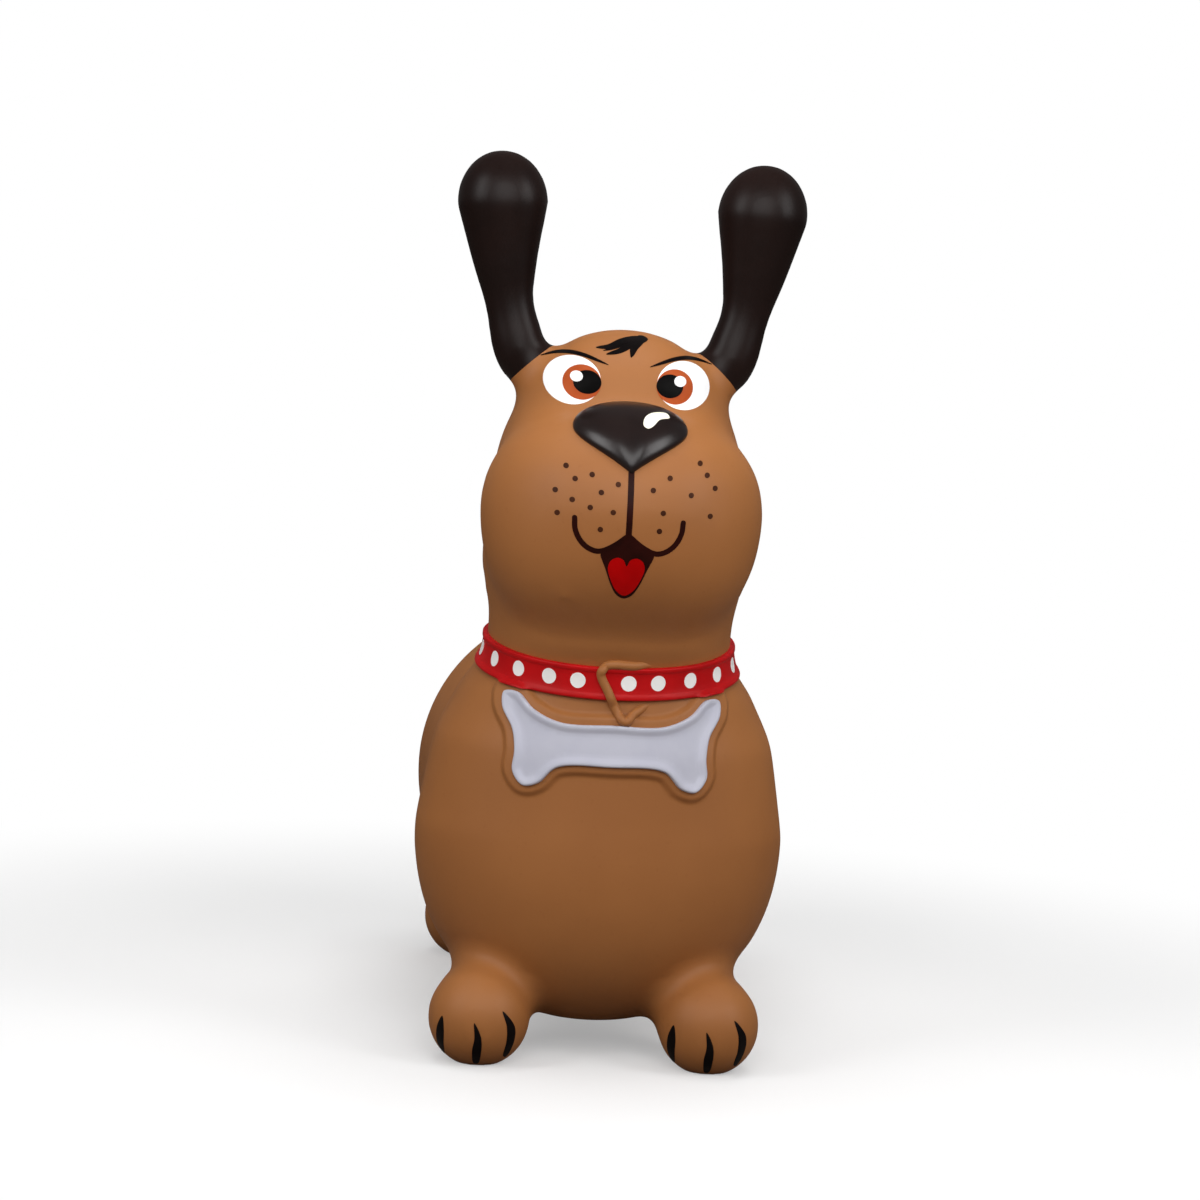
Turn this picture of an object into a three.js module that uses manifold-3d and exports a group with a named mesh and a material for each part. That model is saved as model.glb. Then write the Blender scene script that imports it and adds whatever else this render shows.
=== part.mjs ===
// Inflatable hopping dog: a hollow moulded vinyl skin that stands on four stub legs, with a raised collar, a
// bone-shaped tag on the chest and two club-shaped ears to hold on to. A plug under the tail keeps the air in.
// Millimetres, +Z up, the nose points to -Y. The origin is on the floor under the middle of the dog.
import * as THREE from "three";
import { mergeVertices } from "three/addons/utils/BufferGeometryUtils.js";
import Module from "manifold-3d";

// Skin and fits
const WALL = 2.4; // moulded vinyl
const SOLE = 4; // thicker vinyl under each paw
const SEAM = 0.3; // gap where one moulded form meets the next

// Chest, neck and head: one upright pear. Each level has a rise above the level before it, a lean ahead of the
// chest, a width, and a reach from its spine to the front and to the back. The chest rises from the belly.
const BELLY_CLEARANCE = 17;
const CHEST = { rise: 121, lean: 0, width: 230, front: 88, back: 84 };
const SHOULDERS = { rise: 56, lean: -1, width: 210, front: 87, back: 83 };
const NECK_BASE = { rise: 29, lean: 1, width: 182, front: 82, back: 80 };
const NECK = { rise: 26, lean: 4.2, width: 151, front: 78, back: 66 };
const THROAT = { rise: 24, lean: 8, width: 151, front: 78, back: 63 };
const JOWLS = { rise: 27, lean: 12, width: 164, front: 89, back: 71 };
const CHEEKS = { rise: 36, lean: 14, width: 160, front: 95, back: 82 };
const TEMPLES = { rise: 42, lean: 14, width: 147, front: 62, back: 82 };
const BROW = { rise: 31, lean: 10, width: 122, front: 52, back: 70 };
const CROWN_RISE = 38; // from the brow to the top of the head

// Muzzle: a blunt ball that carries the nose, level with the cheeks, and its smaller and lower root in the head
const MUZZLE = { sag: 0, width: 174, rise: 66, drop: 80 };
const MUZZLE_ROOT = { sag: 6, width: 145, rise: 56, drop: 66 };
const MUZZLE_REACH = 115.3; // ahead of the cheeks
const MUZZLE_DOME = 80; // length of its rounded front
const MUZZLE_SQUARENESS = 2.35; // 2 is an ellipse

// Trunk: a lying barrel behind the chest, with a shallow seat. The rise is from the widest line of the chest.
const WITHERS = { rise: 102, width: 216 };
const SEAT = { rise: 98, width: 210 };
const RUMP = { rise: 112, width: 222 };
const RUMP_DEPTH = 84; // from its widest section to the back end
const SADDLE_LENGTH = 150; // from the chest to the lowest point of the seat
const CROUP_LENGTH = 90; // from there to the rump

// Nose: a rounded triangle that lies on the upper front of the muzzle
const NOSE_WIDTH = 68;
const NOSE_LENGTH = 70;
const NOSE_RELIEF = 8;
const NOSE_CROWN_RADIUS = 62;
const NOSE_TILT = 48; // degrees that its face looks up

// Ears: clubs with a narrow grip and a round end. Each level has a rise above the level before it and a step
// outwards from it. The root starts from the side of the brow.
const EAR_ROOT = { rise: 21, out: 2, radius: 17 };
const EAR_GRIP = { rise: 26, out: 8.5, radius: 14.8 };
const EAR_SWELL = { rise: 31, out: 5, radius: 19.5 };
const EAR_CLUB = { rise: 33, out: 3, radius: 27.4 };
const EAR_CLUB_DOME = 32;
const EAR_TANG = { depth: 27, radius: 16 }; // start of an ear, inside the head
const EAR_SPLAY = 38; // degrees that the root leans out
const EAR_FLATNESS = 0.9; // depth over width
const EAR_SET_BACK = 4; // behind the cheeks
const EAR_SEAT_RADIUS = 36; // ball that the root of an ear sits on
const EAR_SEAT_GAP = 0.45;

// Legs: stubs that end in round paws. Roots and paws are set in from the side of the trunk, and from its front
// end at the front legs or its back end at the rear legs.
const LEG_RADIUS = 29;
const LEG_ROOT_DROP = 42; // below the widest line of the chest
const LEG_BOW = 2; // inward bend half-way down
const PAW_RADIUS = 31;
const PAW_HEIGHT = 27.5; // of its centre, below the radius, so that the sole is flat
const FRONT_LEG = { rootInset: 61, rootSetback: 74, pawInset: 45, pawSetback: 30 };
const REAR_LEG = { rootInset: 57, rootSetback: 84, pawInset: 41, pawSetback: 54 };

// Tail: the root's rise is from the widest line of the chest, and its reach from the end of the rump
const TAIL_ROOT = { rise: 44, reach: -34, radius: 21 };
const TAIL_BEND = { rise: 28, reach: 40, radius: 17 };
const TAIL_TIP = { rise: 34, reach: 24, radius: 13 };

// Collar and the wire ring on it
const COLLAR_WIDTH = 22; // under the chin
const COLLAR_NAPE_WIDTH = 15;
const COLLAR_RELIEF = 2.6;
const COLLAR_BORDER = 3.2;
const COLLAR_BORDER_RELIEF = 0.6;
const COLLAR_CHAMFER = 1;
const RING_WIRE = 5.4;
const RING_DROP = 11; // point of the ring, below the collar
const RING_LEFT = 9;
const RING_RIGHT = 20;

// Bone-shaped tag on a raised pad on the chest
const TAG_DROP = 49; // of its middle, below the middle of the collar
const TAG_LENGTH = 130;
const TAG_SPAN = 55; // across the knuckles
const TAG_SHAFT = 25;
const TAG_RELIEF = 4.4;
const TAG_RIM = 2.2;
const TAG_DISH = 1.4;
const PAD_MARGIN = 4.5;
const PAD_RELIEF = 2;

// Air valve in the middle of the rump
const VALVE_BORE = 9;
const VALVE_BOSS = 24;
const VALVE_BOSS_LENGTH = 11; // inwards from the skin
const PLUG_HEAD = 20;
const PLUG_HEAD_THICKNESS = 2.4;
const PLUG_STEM_LENGTH = 15;
const PLUG_BARB = 0.9; // depth of the groove behind the barb
const PLUG_BARB_LENGTH = 3;
const PLUG_GROOVE_LENGTH = 4;
const PLUG_DISH = 11;
const PLUG_DISH_DEPTH = 1;
const PLUG_EDGE = 0.7; // chamfer of the head

const CHEST_Y = -SADDLE_LENGTH + CROUP_LENGTH / 2;
const SEAT_Y = CHEST_Y + SADDLE_LENGTH;
const RUMP_Y = SEAT_Y + CROUP_LENGTH;
const RUMP_END = RUMP_Y + RUMP_DEPTH;
const HEAD_Y = CHEST_Y - CHEEKS.lean;
const CHEST_Z = BELLY_CLEARANCE + CHEST.rise;
const NECK_Z = CHEST_Z + SHOULDERS.rise + NECK_BASE.rise + NECK.rise;
const CHEEKS_Z = NECK_Z + THROAT.rise + JOWLS.rise + CHEEKS.rise;
const BROW_Z = CHEEKS_Z + TEMPLES.rise + BROW.rise;
const BIG = 1200; // side of a block that cuts everything on one side of a plane
const X = new THREE.Vector3(1, 0, 0);
const Y = new THREE.Vector3(0, 1, 0);
const Z = new THREE.Vector3(0, 0, 1);
const FORWARD = new THREE.Vector3(0, -1, 0);

const wasm = await Module();
wasm.setup();

// A closed geometry as a solid that can be joined and cut.
function solid(geometry) {
  const bare = geometry.clone();
  bare.deleteAttribute("normal");
  bare.deleteAttribute("uv");
  const merged = mergeVertices(bare, 1e-4);
  return new wasm.Manifold(
    new wasm.Mesh({
      numProp: 3,
      vertProperties: merged.attributes.position.array,
      triVerts: new Uint32Array(merged.index.array),
    }),
  );
}

function geometryOf(body) {
  const { vertProperties, triVerts } = body.getMesh();
  const geometry = new THREE.BufferGeometry();
  geometry.setAttribute("position", new THREE.BufferAttribute(vertProperties, 3));
  geometry.setIndex(new THREE.BufferAttribute(triVerts, 1));
  geometry.computeVertexNormals();
  return geometry;
}

// Joins rows of points into a closed skin. Each row is a ring that turns left about the way the rows go.
function skinOf(rows, startPole, endPole, loopRows = false) {
  const around = rows[0].length;
  const points = [...rows.flat(), startPole, endPole].filter(Boolean);
  const index = [];
  const at = (row, column) => (row % rows.length) * around + (column % around);
  const lastRow = loopRows ? rows.length : rows.length - 1;
  for (let row = 0; row < lastRow; row++)
    for (let k = 0; k < around; k++) {
      index.push(at(row, k), at(row, k + 1), at(row + 1, k));
      index.push(at(row, k + 1), at(row + 1, k + 1), at(row + 1, k));
    }
  if (startPole)
    for (let k = 0; k < around; k++) {
      index.push(rows.length * around, at(0, k + 1), at(0, k));
      index.push(rows.length * around + 1, at(rows.length - 1, k), at(rows.length - 1, k + 1));
    }
  const geometry = new THREE.BufferGeometry().setFromPoints(points);
  geometry.setIndex(index);
  return geometry;
}

// A soft form lofted over oval rings along a spine. A station gives a point of the spine and the reach of its
// ring to the sides, to its face and to its back. The ends are flat, or domes of the given length.
class Form {
  constructor({ stations, face, startDome = 0, endDome = 0, around, along, domeSteps, squareness = 2 }) {
    Object.assign(this, { face, startDome, endDome, around, along, domeSteps, squareness });
    this.spine = new THREE.CatmullRomCurve3(stations.map((s) => s.at));
    this.girth = new THREE.CatmullRomCurve3(stations.map((s) => new THREE.Vector3(s.wide, s.front, s.back)));
  }

  ring(t, { grow = 0, slide = 0, shrink = 1, around = this.around } = {}) {
    const tangent = this.spine.getTangent(t);
    const side = new THREE.Vector3().crossVectors(this.face, tangent).normalize();
    const front = new THREE.Vector3().crossVectors(tangent, side);
    const centre = this.spine.getPoint(t).addScaledVector(tangent, slide);
    const reach = this.girth.getPoint(t).addScalar(grow).multiplyScalar(shrink);
    const swell = (v) => Math.sign(v) * Math.abs(v) ** (2 / this.squareness);
    return Array.from({ length: around }, (_, k) => {
      const angle = (2 * Math.PI * k) / around;
      const across = swell(Math.cos(angle)) * reach.x;
      const up = swell(Math.sin(angle)) * (Math.sin(angle) < 0 ? reach.z : reach.y);
      return centre.clone().addScaledVector(side, across).addScaledVector(front, up);
    });
  }

  // The closed form, grown by a distance on all sides. A lower detail is for surfaces that nobody sees.
  geometry(grow = 0, detail = 1) {
    const around = Math.round(this.around * detail);
    const along = Math.round(this.along * detail);
    const domeSteps = Math.round(this.domeSteps * detail);
    const start = this.startDome && this.startDome + grow;
    const end = this.endDome && this.endDome + grow;
    const dome = (t, length, k) => {
      const angle = (Math.PI / 2) * (k / domeSteps);
      return this.ring(t, { grow, around, slide: length * Math.sin(angle), shrink: Math.cos(angle) });
    };
    const rows = [];
    for (let k = domeSteps - 1; start && k > 0; k--) rows.push(dome(0, -start, k));
    for (let k = 0; k <= along; k++) rows.push(this.ring(k / along, { grow, around }));
    for (let k = 1; end && k < domeSteps; k++) rows.push(dome(1, end, k));
    const pole = (t, slide) => this.spine.getPoint(t).addScaledVector(this.spine.getTangent(t), slide);
    return skinOf(rows, pole(0, -start), pole(1, end));
  }

  solid(grow = 0, detail = 1) {
    return solid(this.geometry(grow, detail));
  }

  // The air space inside the wall.
  hollow() {
    return this.solid(-WALL, 0.6);
  }
}

// A block that fills everything on the far side of a plane.
function beyond(start, normal) {
  const block = new THREE.BoxGeometry(BIG, BIG, BIG).translate(0, 0, BIG / 2);
  block.applyQuaternion(new THREE.Quaternion().setFromUnitVectors(Z, normal));
  return solid(block.translate(start.x, start.y, start.z));
}

// A flat outline drawn through the dog along a direction, from a point outwards.
function prism(shape, start, direction, length) {
  const geometry = new THREE.ExtrudeGeometry(shape, { depth: length, bevelEnabled: false, curveSegments: 6 });
  const across = new THREE.Vector3().crossVectors(Z, direction).normalize();
  const up = new THREE.Vector3().crossVectors(direction, across);
  geometry.applyMatrix4(new THREE.Matrix4().makeBasis(across, up, direction).setPosition(start));
  return solid(geometry);
}

const union = (...bodies) => bodies.reduce((sum, body) => sum.add(body));
const ball = (centre, radius) =>
  solid(new THREE.IcosahedronGeometry(radius, 6).translate(centre.x, centre.y, centre.z));

const point = (x, y, z) => new THREE.Vector3(x, y, z);
// The levels of a form, each with its key counted up from the start.
const stacked = (levels, key, start) => {
  let total = start;
  return levels.map((level) => ({ ...level, [key]: (total += level[key]) }));
};

// Chest, neck and head

const pearLevels = [CHEST, SHOULDERS, NECK_BASE, NECK, THROAT, JOWLS, CHEEKS, TEMPLES, BROW];
const pear = new Form({
  stations: stacked(pearLevels, "rise", BELLY_CLEARANCE).map(({ rise, lean, width, front, back }) => ({
    at: point(0, CHEST_Y - lean, rise),
    wide: width / 2,
    front,
    back,
  })),
  face: FORWARD,
  startDome: CHEST.rise,
  endDome: CROWN_RISE,
  around: 32,
  along: 16,
  domeSteps: 6,
});
const muzzleSection = (y, { sag, width, rise, drop }) => ({
  at: point(0, y, CHEEKS_Z - sag),
  wide: width / 2,
  front: rise,
  back: drop,
});
const muzzle = new Form({
  stations: [
    muzzleSection(HEAD_Y, MUZZLE_ROOT),
    muzzleSection(HEAD_Y - MUZZLE_REACH + MUZZLE_DOME, MUZZLE),
  ],
  face: Z,
  endDome: MUZZLE_DOME,
  around: 28,
  along: 2,
  domeSteps: 6,
  squareness: MUZZLE_SQUARENESS,
});

// Trunk

const barrelSection = (y, { width, rise }) => ({
  at: point(0, y, CHEST_Z),
  wide: width / 2,
  front: rise,
  back: CHEST.rise,
});
const barrel = new Form({
  stations: [barrelSection(CHEST_Y, WITHERS), barrelSection(SEAT_Y, SEAT), barrelSection(RUMP_Y, RUMP)],
  face: Z,
  endDome: RUMP_DEPTH,
  around: 32,
  along: 6,
  domeSteps: 6,
});

// Ears. The left ear, as the rider sees it, is on +X.

const round = (at, radius, flatness = 1) => ({
  at,
  wide: radius,
  front: radius * flatness,
  back: radius * flatness,
});
const earRises = stacked([EAR_ROOT, EAR_GRIP, EAR_SWELL, EAR_CLUB], "rise", BROW_Z);
const earLevels = stacked(earRises, "out", BROW.width / 2);
const onEar = (hand, { out, rise }) => point(hand * out, HEAD_Y + EAR_SET_BACK, rise);
function earRoot(hand, inwards) {
  const axis = Z.clone().applyAxisAngle(Y, hand * THREE.MathUtils.degToRad(EAR_SPLAY));
  return onEar(hand, earLevels[0]).addScaledVector(axis, -inwards);
}
function earForm(hand) {
  return new Form({
    stations: [
      round(earRoot(hand, EAR_TANG.depth), EAR_TANG.radius, EAR_FLATNESS),
      ...earLevels.map((level) => round(onEar(hand, level), level.radius, EAR_FLATNESS)),
    ],
    face: FORWARD,
    endDome: EAR_CLUB_DOME,
    around: 16,
    along: 8,
    domeSteps: 4,
  });
}

// Legs and tail

function legForm(hand, width, end, inwards, leg) {
  const place = (inset, setback, z) => point(hand * (width / 2 - inset), end + inwards * setback, z);
  const root = place(leg.rootInset, leg.rootSetback, CHEST_Z - LEG_ROOT_DROP);
  const paw = place(leg.pawInset, leg.pawSetback, PAW_HEIGHT);
  const knee = root.clone().lerp(paw, 0.5).add(point(-hand * LEG_BOW, 0, 0));
  return new Form({
    stations: [round(root, LEG_RADIUS), round(knee, LEG_RADIUS), round(paw, PAW_RADIUS)],
    face: FORWARD,
    endDome: PAW_RADIUS,
    around: 18,
    along: 4,
    domeSteps: 4,
  });
}
const legs = {};
for (const [side, hand] of [["left", 1], ["right", -1]]) {
  legs[`front_${side}_leg`] = legForm(hand, CHEST.width, CHEST_Y - CHEST.front, 1, FRONT_LEG);
  legs[`rear_${side}_leg`] = legForm(hand, RUMP.width, RUMP_END, -1, REAR_LEG);
}
const tailRises = stacked([TAIL_ROOT, TAIL_BEND, TAIL_TIP], "rise", CHEST_Z);
const tailLevels = stacked(tailRises, "reach", RUMP_END);
const tailForm = new Form({
  stations: tailLevels.map(({ reach, rise, radius }) => round(point(0, reach, rise), radius)),
  face: Z,
  endDome: TAIL_TIP.radius,
  around: 16,
  along: 5,
  domeSteps: 4,
});

// Whole forms that the pieces are cut from

const collarAt = pearLevels.indexOf(NECK) / (pearLevels.length - 1);
const collarPoint = pear.spine.getPoint(collarAt);
const collarAxis = pear.spine.getTangent(collarAt);
// Length of the spine per share of it, measured over a short step up from the collar
const spineStep = 0.01;
const collarPitch = pear.spine.getPoint(collarAt + spineStep).distanceTo(collarPoint) / spineStep;
const aboveCollar = (gap) => beyond(collarPoint.clone().addScaledVector(collarAxis, gap), collarAxis);
const below = (z) => beyond(point(0, 0, z), Z.clone().negate());
const ears = {
  left_ear: { form: earForm(1), pivot: earRoot(1, EAR_SEAT_RADIUS) },
  right_ear: { form: earForm(-1), pivot: earRoot(-1, EAR_SEAT_RADIUS) },
};
const torso = (grow) => union(pear.solid(grow), barrel.solid(grow));
const airSpace = union(
  pear.hollow(),
  barrel.hollow(),
  muzzle.hollow(),
  tailForm.hollow(),
  ...Object.values(ears).map(({ form }) => form.hollow()),
  ...Object.values(legs).map((leg) => leg.hollow().subtract(below(SOLE))),
);

// Collar: a band with raised borders round the neck, over the seam

function collarGeometry(grow) {
  const top = COLLAR_RELIEF + COLLAR_BORDER_RELIEF + grow;
  const flat = COLLAR_RELIEF + grow;
  const profile = (edge) => [
    [-edge, -WALL],
    [-edge, top - COLLAR_CHAMFER],
    [-edge + COLLAR_CHAMFER, top],
    [-edge + COLLAR_BORDER, top],
    [-edge + COLLAR_BORDER + COLLAR_CHAMFER, flat],
    [edge - COLLAR_BORDER - COLLAR_CHAMFER, flat],
    [edge - COLLAR_BORDER, top],
    [edge - COLLAR_CHAMFER, top],
    [edge, top - COLLAR_CHAMFER],
    [edge, -WALL],
  ];
  const columns = Array.from({ length: pear.around }, (_, k) => {
    const frontness = (1 + Math.sin((2 * Math.PI * k) / pear.around)) / 2;
    const edge = THREE.MathUtils.lerp(COLLAR_NAPE_WIDTH, COLLAR_WIDTH, frontness) / 2 + grow;
    return profile(edge).map(([along, out]) => pear.ring(collarAt + along / collarPitch, { grow: out })[k]);
  });
  const rows = columns[0].map((_, row) => columns.map((column) => column[row]));
  return skinOf(rows, null, null, true);
}
const collar = solid(collarGeometry(0)).subtract(torso(SEAM));

// Chest tag: a bone outline in the upright plane across the chest

const tagEnd = TAG_LENGTH / 2;
const tagKnuckle = TAG_SPAN / 2;
const tagShaft = TAG_SHAFT / 2;
const boneHalf = [
  [tagEnd * 0.48, tagShaft],
  [tagEnd * 0.72, tagKnuckle * 0.68],
  [tagEnd * 0.87, tagKnuckle],
  [tagEnd * 0.985, tagKnuckle * 0.97],
  [tagEnd, tagKnuckle * 0.66],
  [tagEnd * 0.905, tagKnuckle * 0.2],
  [tagEnd * 0.88, -tagKnuckle * 0.24],
  [tagEnd * 0.89, -tagKnuckle * 0.68],
  [tagEnd * 0.795, -tagKnuckle * 0.97],
  [tagEnd * 0.66, -tagKnuckle * 0.9],
  [tagEnd * 0.49, -tagShaft * 1.15],
];
const boneOutline = new THREE.CatmullRomCurve3(
  [
    [0, tagShaft],
    ...boneHalf,
    [0, -tagShaft],
    ...boneHalf.map(([x, y]) => [-x, y]).reverse(),
  ].map(([x, y]) => new THREE.Vector3(x, y, 0)),
  true,
);
function boneShape(margin) {
  const count = 40;
  const points = Array.from({ length: count }, (_, k) => {
    const out = boneOutline.getTangent(k / count).cross(Z);
    return boneOutline.getPoint(k / count).addScaledVector(out, -margin);
  });
  return new THREE.Shape(points.map((p) => new THREE.Vector2(p.x, p.y)));
}
const throughTag = (margin) => prism(boneShape(margin), point(0, CHEST_Y, NECK_Z - TAG_DROP), FORWARD, BIG / 4);
const padForm = (grow) => throughTag(PAD_MARGIN + grow).intersect(pear.solid(PAD_RELIEF + grow));
const pad = padForm(0).subtract(solid(collarGeometry(SEAM)));
const boneTag = throughTag(0)
  .intersect(pear.solid(TAG_RELIEF))
  .subtract(pear.solid(PAD_RELIEF + SEAM))
  .subtract(throughTag(-TAG_RIM).subtract(pear.solid(TAG_RELIEF - TAG_DISH)));

// Air valve: a recess for the plug's head, and a bore through a thick boss

function turned(profile) {
  const points = profile.map(([radius, y]) => new THREE.Vector2(radius, RUMP_END + y));
  return solid(new THREE.LatheGeometry(points, 20).translate(0, 0, CHEST_Z));
}
const bore = VALVE_BORE / 2;
const plugHead = PLUG_HEAD / 2;
const headSeat = -PLUG_HEAD_THICKNESS - SEAM;
const valveBoss = turned([
  [0, -VALVE_BOSS_LENGTH],
  [VALVE_BOSS / 2, -VALVE_BOSS_LENGTH],
  [VALVE_BOSS / 2, -WALL],
  [0, -WALL],
]);
const valveHole = turned([
  [0, -VALVE_BOSS_LENGTH - WALL],
  [bore, -VALVE_BOSS_LENGTH - WALL],
  [bore, headSeat],
  [plugHead + SEAM, headSeat],
  [plugHead + SEAM, WALL],
  [0, WALL],
]);
const stem = bore - SEAM;
const barb = PLUG_BARB_LENGTH - PLUG_STEM_LENGTH;
const groove = barb + PLUG_GROOVE_LENGTH;
const plug = turned([
  [0, -PLUG_STEM_LENGTH],
  [stem - PLUG_BARB, -PLUG_STEM_LENGTH],
  [stem, barb],
  [stem - PLUG_BARB, barb + PLUG_BARB],
  [stem - PLUG_BARB, groove],
  [stem, groove + PLUG_BARB],
  [stem, -PLUG_HEAD_THICKNESS],
  [plugHead, -PLUG_HEAD_THICKNESS],
  [plugHead, -PLUG_EDGE],
  [plugHead - PLUG_EDGE, 0],
  [PLUG_DISH / 2 + PLUG_DISH_DEPTH, 0],
  [PLUG_DISH / 2, -PLUG_DISH_DEPTH],
  [0, -PLUG_DISH_DEPTH],
]);

// Body shell, up to the seam under the collar

const body = union(torso(0), pad)
  .subtract(aboveCollar(-SEAM / 2))
  .subtract(airSpace)
  .add(valveBoss)
  .subtract(valveHole);

// Head shell, with the two balls that the ears sit on

const earStub = ({ form, pivot }) => form.solid().intersect(ball(pivot, EAR_SEAT_RADIUS));
const skull = pear.solid().intersect(aboveCollar(SEAM / 2));
const head = union(skull, muzzle.solid(), ...Object.values(ears).map(earStub)).subtract(airSpace);

// Nose: its outline stands on the muzzle and is crowned by a ball

function noseShape() {
  const half = NOSE_WIDTH / 2;
  const top = NOSE_LENGTH * 0.42;
  const widest = NOSE_LENGTH * 0.06;
  const tip = -NOSE_LENGTH * 0.58;
  const shape = new THREE.Shape();
  shape.moveTo(0, top);
  shape.bezierCurveTo(half * 0.62, top, half, top * 0.62, half, widest);
  shape.bezierCurveTo(half, tip * 0.26, half * 0.5, tip * 0.62, 0, tip);
  shape.bezierCurveTo(-half * 0.5, tip * 0.62, -half, tip * 0.26, -half, widest);
  shape.bezierCurveTo(-half, top * 0.62, -half * 0.62, top, 0, top);
  return shape;
}
const noseAxis = FORWARD.clone().applyAxisAngle(X, THREE.MathUtils.degToRad(-NOSE_TILT));
const muzzleBall = muzzle.spine.getPoint(1);
const muzzleMesh = new THREE.Mesh(muzzle.geometry());
const beforeNose = muzzleBall.clone().addScaledVector(noseAxis, BIG);
const noseRay = new THREE.Raycaster(beforeNose, noseAxis.clone().negate());
const noseSeat = noseRay.intersectObject(muzzleMesh)[0].point;
const noseBall = noseSeat.clone().addScaledVector(noseAxis, NOSE_RELIEF - NOSE_CROWN_RADIUS);
const nose = prism(noseShape(), muzzleBall, noseAxis, BIG / 4)
  .intersect(ball(noseBall, NOSE_CROWN_RADIUS))
  .subtract(muzzle.solid(SEAM));

// Wire ring on the collar: it lies along the top edge, crosses the band and hangs in a point over the chest

const front = new THREE.Mesh(geometryOf(union(solid(collarGeometry(0)), pear.solid())));
function onFront(x, along) {
  const inwards = new THREE.Vector3().crossVectors(collarAxis, X);
  const start = collarPoint.clone().addScaledVector(collarAxis, along).addScaledVector(inwards, -BIG / 4);
  const hit = new THREE.Raycaster(start.setX(x), inwards).intersectObject(front)[0];
  return hit.point.addScaledVector(inwards, -RING_WIRE / 4);
}
const half = COLLAR_WIDTH / 2;
const wire = RING_WIRE / 2;
const ringRoute = new THREE.CatmullRomCurve3(
  [
    [RING_RIGHT, half + wire],
    [RING_RIGHT / 2, half + wire],
    [-RING_LEFT * 0.5, half + wire],
    [-RING_LEFT, half * 0.6],
    [-RING_LEFT * 0.4, -half * 0.5],
    [RING_LEFT * 0.35, -half - RING_DROP * 0.7],
    [RING_LEFT * 0.8, -half - RING_DROP],
    [RING_RIGHT * 0.62, -half - RING_DROP * 0.62],
    [RING_RIGHT, -half - wire],
  ].map(([x, along]) => onFront(x, along)),
);
const wireSection = new THREE.Shape().absarc(0, 0, wire, 0, 2 * Math.PI);
const wireBend = { steps: 30, curveSegments: 4, bevelEnabled: false, extrudePath: ringRoute };
const collarRing = solid(new THREE.ExtrudeGeometry(wireSection, wireBend))
  .subtract(solid(collarGeometry(SEAM)))
  .subtract(pear.solid(SEAM))
  .subtract(padForm(SEAM));

// Materials and the assembly

const vinyl = (color, roughness) => new THREE.MeshStandardMaterial({ color, roughness, metalness: 0 });
const brown = vinyl(0x9a6233, 0.5);
const dark = vinyl(0x241614, 0.4);
const red = vinyl(0xc90a16, 0.45);
const pale = vinyl(0xcdcfd9, 0.45);
const white = vinyl(0xeeeae2, 0.4);

const dog = new THREE.Group();
function place(name, shape, material) {
  const mesh = new THREE.Mesh(geometryOf(shape), material);
  mesh.name = name;
  dog.add(mesh);
}
place("body_shell", body, brown);
place("head_shell", head, brown);
for (const [name, leg] of Object.entries(legs))
  place(name, leg.solid().subtract(below(0)).subtract(torso(SEAM)).subtract(airSpace), brown);
place("tail", tailForm.solid().subtract(barrel.solid(SEAM)).subtract(airSpace), brown);
for (const [name, { form, pivot }] of Object.entries(ears))
  place(name, form.solid().subtract(ball(pivot, EAR_SEAT_RADIUS + EAR_SEAT_GAP)).subtract(airSpace), dark);
place("nose", nose, dark);
place("collar_band", collar, red);
place("collar_ring", collarRing, brown);
place("bone_tag", boneTag, pale);
place("valve_plug", plug, white);

// Set the dog over the origin.
const middle = new THREE.Box3().setFromObject(dog).getCenter(new THREE.Vector3());
dog.position.y = -middle.y;

export default dog;
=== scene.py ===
# An inflatable hopping dog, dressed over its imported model. Metres, +Z up, the nose points to -Y.
import bmesh
import bpy
import numpy as np
from mathutils import Matrix, Vector
from mathutils.bvhtree import BVHTree
from mathutils.geometry import delaunay_2d_cdt


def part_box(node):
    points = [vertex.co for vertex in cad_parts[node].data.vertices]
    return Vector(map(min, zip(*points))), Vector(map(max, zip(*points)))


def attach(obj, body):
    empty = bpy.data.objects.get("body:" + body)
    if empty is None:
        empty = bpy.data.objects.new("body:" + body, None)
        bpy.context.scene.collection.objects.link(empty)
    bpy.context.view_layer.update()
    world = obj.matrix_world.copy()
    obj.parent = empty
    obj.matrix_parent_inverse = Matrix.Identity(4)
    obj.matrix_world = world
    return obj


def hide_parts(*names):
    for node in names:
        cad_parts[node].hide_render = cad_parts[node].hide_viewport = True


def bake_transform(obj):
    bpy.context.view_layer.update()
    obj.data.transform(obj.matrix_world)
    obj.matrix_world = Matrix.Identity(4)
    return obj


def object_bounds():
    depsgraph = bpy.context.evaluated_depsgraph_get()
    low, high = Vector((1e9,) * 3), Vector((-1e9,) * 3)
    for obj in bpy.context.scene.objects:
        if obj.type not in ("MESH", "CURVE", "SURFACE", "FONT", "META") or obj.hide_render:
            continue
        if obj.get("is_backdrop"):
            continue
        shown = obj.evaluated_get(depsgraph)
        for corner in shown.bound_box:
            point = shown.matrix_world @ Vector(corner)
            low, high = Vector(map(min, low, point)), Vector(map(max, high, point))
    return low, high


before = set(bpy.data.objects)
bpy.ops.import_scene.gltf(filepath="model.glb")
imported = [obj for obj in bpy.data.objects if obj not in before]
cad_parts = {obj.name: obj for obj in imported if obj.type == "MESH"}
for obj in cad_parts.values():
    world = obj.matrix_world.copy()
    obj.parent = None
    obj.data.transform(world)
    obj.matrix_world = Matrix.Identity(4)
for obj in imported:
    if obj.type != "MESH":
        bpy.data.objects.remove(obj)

cad_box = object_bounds()

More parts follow.
